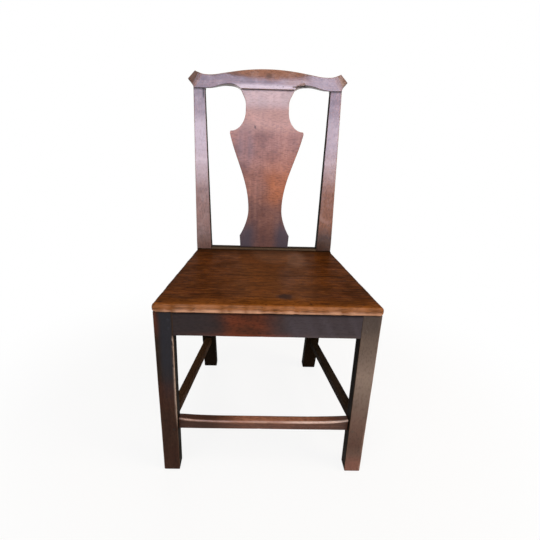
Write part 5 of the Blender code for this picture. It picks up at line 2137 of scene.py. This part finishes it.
        # Dirt in the chip and beside it, in the crack and in the specks; darker behind, in spots on the
        # brown, on the left, on the facets of the ears and along the lower edge.
        grime = most(patch(0.8, self.broken),
                     patch(0.85, (away(X, 0.110), 0.012, 0.005), (up, 0.018, 0.012)),
                     patch(0.95, lambda p: self.crack(p.x, up(p))),
                     patch(0.25, (behind, 0.0, 0.1)),
                     patch(0.55, (from_spot((X, 0.002, 1.0), (up, 0.037, 1 / 1.3)), 0.016, 0.004)),
                     patch(0.45, (spotted, 0.15, 0.5), (up, 0.026, 0.034)),
                     patch(0.10, (X, -0.07, -0.13), (ear, 0.226, 0.218)),
                     patch(1.0, lambda p: 0.30 if p.x > 0 else 0.55, (ear, 0.207, 0.224)),
                     patch(0.65, (above_edge, 0.0028, 0.0010), (across, 0.08, 0.10)),
                     *(patch(0.8, (from_spot((X, x, 1.0), (up, height, 1.0)), 0.0022, 0.0008))
                       for x, height in self.dots))
        return {"warm": warm, "pale": pale, "grime": grime}

    def crest(self) -> Piece:
        """The crest rail: rolled back along its middle and at the facets of its ears.

        Returns:
            The crest's object.
        """
        bottom, on_post = self.crest_bottom()
        top = self.crest_top()
        seat, arch_x = bottom[on_post][0], self.crest_half * self.arch_place
        columns = []
        for number, low in enumerate(bottom):
            x, undercut, facet = low[0], 0.0, 0.0
            if number >= on_post:
                share = (number - on_post) / (len(bottom) - 1 - on_post)
                x = seat + (top[-1][0] - seat) * share
                facet = self.ear_roll * max(0.0, (share - 1 + self.ear_facet) / self.ear_facet)
            elif x > arch_x:
                undercut = self.undercut * (x - arch_x) / (seat - self.stop - arch_x)
            columns.append((low, (x, between(x, top)), undercut, facet))
        skin = Skin()
        rings = [self.crest_ring(skin, Side.LEFT, *column) for column in reversed(columns[1:])]
        rings += [self.crest_ring(skin, Side.RIGHT, *column) for column in columns]
        skin.tube(rings)
        return skin.piece("crest_rail", self.crest_marks())

    def crest_ring(self, skin: Skin, side: Side, low: Pair, high: Pair,
                   undercut: float, facet: float) -> list[int]:
        """Adds one section of the crest to its skin.

        Args:
            skin: the crest's skin.
            side: which half the section is in.
            low: its bottom point.
            high: its top point.
            undercut: how far its underside rises towards the back.
            facet: how far its front lies back, on the ear.

        Returns:
            Numbers of the section's points.
        """
        length = math.dist(low, high)
        middle_roll = self.roll * max(0.0, 1 - (low[0] / (self.crest_half * self.roll_place)) ** 2)
        arrises = (self.crest_arris / 2, self.crest_arris, self.crest_arris, self.crest_arris)
        swings = [wander(80 + number, side.value * low[0], 0.03) for number in range(len(arrises))]
        wear = [radius * (self.crest_wear + self.uneven_wear * swing_here)
                for radius, swing_here in zip(arrises, swings)]
        ring = []
        for up, depth, rub in self.crest_profile(length, undercut, wear):
            share = up / length
            x = side.value * (low[0] + (high[0] - low[0]) * share)
            height = low[1] + (high[1] - low[1]) * share
            rise = max(0.0, share - self.roll_start) / (1 - self.roll_start)
            front_share = 1 - depth / self.crest_thickness
            broken = self.chip(x, up, depth)
            split = self.crack_depth * self.crack(x, height - self.sizes.back_length) * front_share ** 4
            back = depth + (middle_roll * rise ** 2 + facet) * front_share + broken * self.chip_back + split
            height += broken * smooth(up, self.chip_height, 0.0)
            waves = self.wave * noise.noise(Vector((x / self.wave_length, height / self.wave_length, 8.1)))
            point = self.sizes.on_back(x, height, back + waves * front_share)
            ring.append(skin.add(point, Vector((x + 9.1, height + 3.3, depth + 1.7)), rub))
        return ring

    def build(self, back: Material, splat: Material, black: Material) -> None:
        """Makes the shoe, the splat and the crest.

        Args:
            back: the crest's material.
            splat: the splat's material.
            black: the shoe's material.
        """
        sizes = self.sizes
        half = sizes.post_inner(sizes.seat_height) - sizes.gap
        strip = Bar("shoe", -half, half, self.shoe_section, same(*self.shoe_arrises), seed=60, wear=0.2,
                    bruise=0.0008, wobble=0.0001)
        # A painted highlight along the shoe's rounded front.
        line = fade(away(Z, sizes.seat_height + sizes.shoe_height / 2), 0.0034, 0.0014)
        self.dress(strip.build(NO_MARKS | {"pale": line}), black, "back")
        self.dress(self.splat().build(self.splat_marks()), splat, "splat")
        self.dress(self.crest(), back, "back")


@dataclass
class Fastening:
    """A peg or nail at one place: where its outer end is, and the way that it goes in."""

    node: str
    place: Vector
    way: Vector
    marks: Marks = field(default_factory=lambda: NO_MARKS)


@dataclass(frozen=True)
class Cone:
    """A round part of a fastening, by the names of its tree's inputs, and whether it stands outwards."""

    outer: str
    inner: str
    length: str
    start: str | None = None
    outwards: bool = False


@dataclass
class Fastenings(SubAssembly):
    """The drawbore pegs and the seat nails, set by Geometry Nodes."""

    peg_radius: float = 0.0035
    peg_point: float = 0.8
    peg_head: float = 0.72
    peg_length: float = 0.019
    peg_proud: float = 0.0004
    peg_sides: int = 14
    # Each peg goes through the middle of its tenon: these are the tenons' lengths and shoulder's height.
    front_tenon: float = 0.020
    side_tenon: float = 0.023
    back_tenon: float = 0.018
    stretcher_tenon: float = 0.017
    crest_tenon: float = 0.026
    shoulder: float = 0.008
    nail_radius: float = 0.0045
    nail_crown: float = 0.0027
    nail_head: float = 0.0018
    nail_neck: float = 0.0022
    nail_tip: float = 0.0008
    nail_length: float = 0.040
    nail_sunk: float = 0.0003
    nail_sides: int = 7
    # Where the nails are, as shares of the seat's width and depth.
    front_nails: Pair = (0.18, 0.39)
    side_nails: Pair = (0.33, 0.72)
    # The smallest and the largest fastening, as shares of the named size.
    unevenness: Pair = (0.92, 1.04)

    def pegs(self, legs: FrontLegs, bars: Stretchers) -> list[Fastening]:
        """Every peg of the pinned joints.

        Args:
            legs: the front legs, whose marks the pegs in them share.
            bars: the stretchers.

        Returns:
            The pegs.
        """
        sizes = self.sizes
        front, rail, stretcher = self.front_tenon / 2, self.side_tenon / 2, self.stretcher_tenon / 2
        low, high = sizes.rail_bottom + self.shoulder, sizes.rail_top - self.shoulder
        middle = (low + high) / 2
        front_bar = bars.front_low + (bars.front_height - bars.foot_wear) / 2
        side_bar = bars.side_low + bars.side_height / 2
        back_bar = bars.back_low + bars.back_height / 2
        into, out = Vector((0, 1, 0)), Vector((0, -1, 0))
        rake_out = (sizes.on_back(0, 0, 0) - sizes.on_back(0, 0, 1)).normalized()
        found = []
        for side in Side:
            around, inward = legs.marks(side), Vector((-side.value, 0, 0))
            # Each peg's name, its distance from the chair's middle, its depth and its level, the way that it
            # goes in, and its marks.
            pegs = (
                ("front_rail_peg_upper", sizes.leg_inner + front, 0, (middle + high) / 2, into, around),
                ("front_rail_peg_lower", sizes.leg_inner + front, 0, (low + middle) / 2, into, around),
                ("front_stretcher_peg", sizes.leg_inner + stretcher, 0, front_bar, into, around),
                ("side_rail_peg_front", sizes.front_width / 2, sizes.leg_depth - rail, middle, inward),
                ("side_rail_peg_back", sizes.post_outer(middle), sizes.seat_depth + rail, middle, inward),
                ("side_stretcher_peg_front", sizes.leg_outer(side_bar), sizes.leg_depth - stretcher,
                 side_bar, inward),
                ("side_stretcher_peg_back", sizes.post_outer(side_bar),
                 sizes.post_front(side_bar) + stretcher, side_bar, inward),
                ("back_rail_peg", sizes.post_inner(middle) + self.back_tenon / 2,
                 sizes.seat_depth + sizes.post_depth, middle, out),
                ("back_stretcher_peg", sizes.post_inner(back_bar) + stretcher,
                 sizes.post_front(back_bar) + sizes.post_depth, back_bar, out),
            )
            for name, x, y, z, *rest in pegs:
                found.append(Fastening(f"{name}_{side.word}", Vector((side.value * x, y, z)), *rest))
            x = side.value * (sizes.top_width / 2 - sizes.post_top_width / 2)
            place = sizes.on_back(x, sizes.back_length + self.crest_tenon / 2, sizes.post_top_depth)
            found.append(Fastening(f"crest_peg_{side.word}", place, rake_out))
        return found

    def nails(self, rails: SeatFrame) -> list[Fastening]:
        """Every nail of the seat.

        Args:
            rails: the seat frame, which the nails go into.

        Returns:
            The nails.
        """
        sizes = self.sizes
        found = []
        for side in Side:
            places = []
            for name, share in zip(("inner", "outer"), self.front_nails):
                y = rails.front_setback + sizes.rail_thickness / 2
                places.append((f"front_nail_{name}_", share * sizes.front_width, y))
            for end, share in zip(End, self.side_nails):
                y = share * sizes.seat_depth
                places.append((f"side_nail_{end.value}_", rails.rail_line(y), y))
            for name, x, y in places:
                place = Vector((side.value * x, y, sizes.seat_height - self.nail_sunk))
                found.append(Fastening(name + side.word, place, Vector((0, 0, -1))))
        return found

    def tree(self, name: str, sizes: dict[str, float], cones: Sequence[Cone], sides: int) -> Tree:
        """Builds the tree that sets one kind of fastening on points.

        Args:
            name: the tree's name.
            sizes: its named inputs and their sizes.
            cones: the fastening's parts.
            sides: how many sides each part has.

        Returns:
            The tree.
        """
        tree = bpy.data.node_groups.new(name, "GeometryNodeTree")
        sockets = {"Points": "Geometry", **dict.fromkeys(sizes, "Float"), "Finish": "Material", "Seed": "Int"}
        for socket, kind in sockets.items():
            tree.interface.new_socket(socket, in_out="INPUT", socket_type="NodeSocket" + kind)
        for size, value in sizes.items():
            tree.interface.items_tree[size].default_value = value
        tree.interface.new_socket("Pieces", in_out="OUTPUT", socket_type="NodeSocketGeometry")
        add = partial(add_node, tree)
        given = add("NodeGroupInput").outputs
        joined = add("GeometryNodeJoinGeometry")
        for cone in cones:
            shape = {"Vertices": sides, "Radius Bottom": given[cone.outer], "Radius Top": given[cone.inner],
                     "Depth": given[cone.length]}
            move = {"Geometry": add("GeometryNodeMeshCone", shape).outputs["Mesh"],
                    "Rotation": (math.pi if cone.outwards else 0.0, 0.0, 0.0)}
            if cone.start:
                move["Translation"] = add("ShaderNodeCombineXYZ", {"Z": given[cone.start]}).outputs[0]
            feed(tree, joined, {0: add("GeometryNodeTransform", move).outputs[0]})
        way = add("GeometryNodeInputNamedAttribute", {"Name": "way"}, data_type="FLOAT_VECTOR")
        turned = add("FunctionNodeAlignRotationToVector", {"Vector": way.outputs[0]}, axis="Z")
        size, spin = (add("FunctionNodeRandomValue", {2: low, 3: high, 8: given["Seed"]}, data_type="FLOAT")
                      for low, high in (self.unevenness, (0.0, math.tau)))
        placed = add("GeometryNodeInstanceOnPoints", {
            "Points": given["Points"], "Instance": joined.outputs[0], "Scale": size.outputs[1],
            "Rotation": turned.outputs[0]})
        turn = add("ShaderNodeCombineXYZ", {"Z": spin.outputs[1]}).outputs[0]
        spun = add("GeometryNodeRotateInstances", {"Instances": placed.outputs[0], "Rotation": turn})
        real = add("GeometryNodeRealizeInstances", {"Geometry": spun.outputs[0]})
        finish = {"Geometry": real.outputs[0], "Material": given["Finish"]}
        add("NodeGroupOutput", {"Pieces": add("GeometryNodeSetMaterial", finish).outputs[0]})
        return tree

    def set_on_points(self, name: str, tree: Tree, found: Sequence[Fastening], material: Material,
                      seed: int) -> Piece:
        """Runs a tree on the places of the fastenings and keeps the result as a plain mesh.

        Args:
            name: the new piece's name.
            tree: the tree.
            found: the fastenings.
            material: their material.
            seed: the tree's seed.

        Returns:
            The new piece.
        """
        points = bpy.data.meshes.new(name + "_points")
        points.from_pydata([item.place + TO_FRAME for item in found], [], [])
        write_vectors(points, "way", [item.way for item in found])
        for mark in NO_MARKS:
            write_numbers(points, mark, [clamp(item.marks[mark](item.place)) for item in found])
        holder = put(name + "_points", points)
        modifier = holder.modifiers.new("set", "NODES")
        modifier.node_group = tree
        for socket, value in (("Finish", material), ("Seed", seed)):
            modifier[tree.interface.items_tree[socket].identifier] = value
        evaluated = holder.evaluated_get(bpy.context.evaluated_depsgraph_get())
        mesh = bpy.data.meshes.new_from_object(evaluated)
        bpy.data.objects.remove(holder)
        mesh.name = name
        return put(name, mesh)

    def build(self, legs: FrontLegs, rails: SeatFrame, bars: Stretchers, oak: Material,
              iron: Material) -> None:
        """Sets the pegs and the nails.

        Args:
            legs: the front legs.
            rails: the seat frame, which the seat is nailed to.
            bars: the stretchers, whose joints are pinned.
            oak: the pegs' material.
            iron: the nails' material.
        """
        radius = self.peg_radius
        sizes = {"Radius": radius, "Point": self.peg_point * radius, "Length": self.peg_length,
                 "Head": self.peg_head * radius, "Proud": self.peg_proud}
        cones = (Cone("Radius", "Point", "Length"), Cone("Radius", "Head", "Proud", outwards=True))
        tree = self.tree("set_pegs", sizes, cones, self.peg_sides)
        found = self.pegs(legs, bars)
        pegs = self.set_on_points("drawbore_pegs", tree, found, oak, seed=4)
        self.dress(pegs, oak, "peg", *[item.node for item in found])
        sizes = {"Crown": self.nail_crown, "Head": self.nail_radius, "Thickness": self.nail_head,
                 "Neck": self.nail_neck, "Tip": self.nail_tip, "Length": self.nail_length}
        cones = (Cone("Crown", "Head", "Thickness"), Cone("Neck", "Tip", "Length", start="Thickness"))
        tree = self.tree("set_nails", sizes, cones, self.nail_sides)
        found = self.nails(rails)
        nails = self.set_on_points("seat_nails", tree, found, iron, seed=9)
        self.dress(nails, iron, "iron", *[item.node for item in found])


# Studio


@dataclass(frozen=True)
class Camera:
    """The photo's view: where the camera stood, how it was turned and its lens. y is from the front legs."""

    place: tuple[float, float, float] = (-0.03911, -0.78943, 0.80346)
    yaw: float = 0.02083
    pitch: float = -0.35291
    roll: float = 0.02736
    focal: float = 412.2974
    middle: Pair = (258.525, 275.549)
    picture: float = 540.0
    sensor: float = 36.0
    nearest: float = 0.05

    def build(self) -> None:
        """Makes the camera and hands it to the scene."""
        ahead = Vector((math.sin(self.yaw) * math.cos(self.pitch), math.cos(self.yaw) * math.cos(self.pitch),
                        math.sin(self.pitch)))
        right = Vector((math.cos(self.yaw), -math.sin(self.yaw), 0.0))
        up = right.cross(ahead)
        turned_right = right * math.cos(self.roll) + up * math.sin(self.roll)
        turned_up = up * math.cos(self.roll) - right * math.sin(self.roll)
        turn = Matrix((turned_right, turned_up, -ahead)).transposed().to_4x4()
        data = bpy.data.cameras.new("photo_camera")
        data.sensor_width = self.sensor
        data.lens = self.focal / self.picture * data.sensor_width
        data.shift_x = (self.picture / 2 - self.middle[0]) / self.picture
        data.shift_y = (self.middle[1] - self.picture / 2) / self.picture
        data.clip_start = self.nearest
        camera = put("photo_camera", data)
        camera.matrix_world = Matrix.Translation(Vector(self.place) + TO_FRAME) @ turn
        bpy.context.scene.camera = camera


class Reach(Enum):
    """What a light falls on: everything, only the matt colour, or only the shine."""

    ALL = "all"
    COLOUR = "colour"
    SHINE = "shine"


@dataclass(frozen=True)
class Lamp:
    """A soft square light."""

    name: str
    place: tuple[float, float, float]
    aim: tuple[float, float, float]
    width: float
    height: float
    power: float
    colour: str
    reach: Reach = Reach.ALL

    def build(self) -> None:
        """Makes the light."""
        data = bpy.data.lights.new(self.name, "AREA")
        data.shape = "RECTANGLE"
        data.size, data.size_y = self.width, self.height
        data.energy = self.power
        data.color = linear(self.colour)[:3]
        lamp = put(self.name, data)
        lamp.visible_camera = False
        lamp.visible_diffuse = self.reach is not Reach.SHINE
        lamp.visible_glossy = self.reach is not Reach.COLOUR
        way = Vector(self.aim) - Vector(self.place)
        lamp.matrix_world = Matrix.Translation(self.place) @ way.to_track_quat("-Z", "Y").to_matrix().to_4x4()


@dataclass(frozen=True)
class Studio:
    """A pale floor, soft light from in front, the shine of a wide window, and a quiet room behind."""

    floor_size: float = 14.0
    # The floor lies this far below the feet, so that the two don't touch.
    floor_drop: float = 0.0005
    floor_colour: str = "DEDCDA"
    floor_roughness: float = 0.9
    floor_specular: float = 0.1
    floor_white: float = 0.88
    shadow_reach: Pair = (0.45, 1.10)
    room_front: str = "86827E"
    room_back: str = "2A2725"
    room_turn: Pair = (-0.5, 0.4)
    white: str = "FFFFFF"
    lamps: tuple[Lamp, ...] = (
        Lamp("soft_front", (-1.0, -3.2, 3.2), (0.0, 0.1, 0.5), 4.0, 2.0, 95.0, "FFFFFF", Reach.COLOUR),
        Lamp("soft_top", (0.3, -0.4, 3.6), (0.1, 0.0, 0.4), 2.5, 2.5, 42.0, "FFFAF4", Reach.COLOUR),
        Lamp("soft_back", (-0.6, 2.8, 2.2), (0.0, 0.0, 0.5), 2.0, 2.0, 30.0, "FFFAF4", Reach.COLOUR),
        Lamp("side_window", (2.6, -1.1, 2.3), (0.0, 0.0, 0.4), 1.6, 1.6, 60.0, "FFF0DC"),
        Lamp("wide_window", (-0.3, -3.3, 2.95), (0.0, 0.1, 0.7), 5.0, 2.4, 320.0, "BDD1FF", Reach.SHINE),
        Lamp("doorway", (0.32, 3.0, 1.33), (0.05, 0.0, 0.45), 0.3, 0.36, 0.5, "F0F0FF", Reach.SHINE),
    )

    def seen(self, add: Adder) -> Socket:
        """Says whether a ray shows the background: the camera's own, or one by way of shine or glass.

        Args:
            add: adds a node to the floor's material or to the room.

        Returns:
            A socket of 1 or 0.
        """
        ray = add("ShaderNodeLightPath").outputs
        seen = ray["Is Transmission Ray"]
        for kind in ("Is Glossy Ray", "Is Camera Ray"):
            seen = add("ShaderNodeMath", {0: ray[kind], 1: seen}, operation="MAXIMUM").outputs[0]
        return seen

    def floor(self) -> None:
        """Makes the floor, which the camera sees as nearly white, with the chair's shadow on it."""
        body = bmesh.new()
        bmesh.ops.create_grid(body, x_segments=1, y_segments=1, size=self.floor_size / 2)
        mesh = bpy.data.meshes.new("studio_floor")
        body.to_mesh(mesh)
        body.free()
        mesh.transform(Matrix.Translation((0.0, 0.0, -self.floor_drop)))
        item = put("studio_floor", mesh)
        material, add = new_material("painted_studio_floor")
        tree = material.node_tree
        shader = tree.nodes["Principled BSDF"]
        feed(tree, shader, {"Base Color": linear(self.floor_colour), "Roughness": self.floor_roughness,
                            "Specular IOR Level": self.floor_specular})
        place = add("ShaderNodeTexCoord").outputs["Object"]
        from_middle = add("ShaderNodeVectorMath", {0: place}, operation="LENGTH")
        near, far = self.shadow_reach
        whiteness = {"Value": from_middle.outputs["Value"], "From Min": near, "From Max": far,
                     "To Min": self.floor_white, "To Max": 1.0}
        share = add("ShaderNodeMapRange", whiteness, interpolation_type="SMOOTHSTEP").outputs[0]
        seen = add("ShaderNodeMath", {0: self.seen(add), 1: share}, operation="MULTIPLY").outputs[0]
        glow = add("ShaderNodeEmission", {"Color": linear(self.white), "Strength": 1.0}).outputs[0]
        mixed = add("ShaderNodeMixShader", {0: seen, 1: shader.outputs[0], 2: glow}).outputs[0]
        feed(tree, tree.nodes["Material Output"], {"Surface": mixed})
        mesh.materials.append(material)

    def room(self) -> None:
        """Makes the surroundings: white to the camera, and otherwise a room, darker behind the chair."""
        world = bpy.data.worlds.new("room")
        bpy.context.scene.world = world
        world.use_nodes = True
        world.node_tree.nodes.clear()
        add = partial(add_node, world.node_tree)
        way = add("ShaderNodeTexCoord").outputs["Generated"]
        parts = add("ShaderNodeSeparateXYZ", {0: way}).outputs
        low, high = self.room_turn
        turn = {"Value": parts["Y"], "From Min": low, "From Max": high}
        behind = add("ShaderNodeMapRange", turn, interpolation_type="SMOOTHSTEP").outputs[0]
        colour = linear(self.room_front)
        for share, tint in ((behind, self.room_back), (self.seen(add), self.white)):
            blend = {0: share, 6: colour, 7: linear(tint)}
            colour = add("ShaderNodeMix", blend, data_type="RGBA").outputs[2]
        light = add("ShaderNodeBackground", {"Color": colour, "Strength": 1.0}).outputs[0]
        add("ShaderNodeOutputWorld", {"Surface": light})

    def build(self) -> None:
        """Makes the floor, the room and the lights, and sets the plain view."""
        self.floor()
        self.room()
        for lamp in self.lamps:
            lamp.build()
        bpy.context.scene.view_settings.view_transform = "Standard"


def main() -> None:
    """Builds the camera, the chair and the studio, in that order."""
    logging.basicConfig(level=logging.INFO, format="%(name)s: %(message)s")
    Camera().build()
    sizes = ChairSizes()
    dark, black, back = DARK_OAK.material(), BLACK_OAK.material(), BACK_OAK.material()
    legs = FrontLegs(sizes)
    legs.build(dark, black)
    BackPosts(sizes).build(back, black)
    rails = SeatFrame(sizes)
    rails.build(RAIL_OAK.material(), black, BARE_OAK.material())
    bars = Stretchers(sizes)
    bars.build(TRODDEN_OAK.material(), black)
    Seat(sizes).build(SEAT_OAK.material())
    Back(sizes).build(back, SPLAT_OAK.material(), black)
    Fastenings(sizes).build(legs, rails, bars, PEG_OAK.material(), IRON.material())
    Studio().build()


if __name__ == "__main__":
    main()
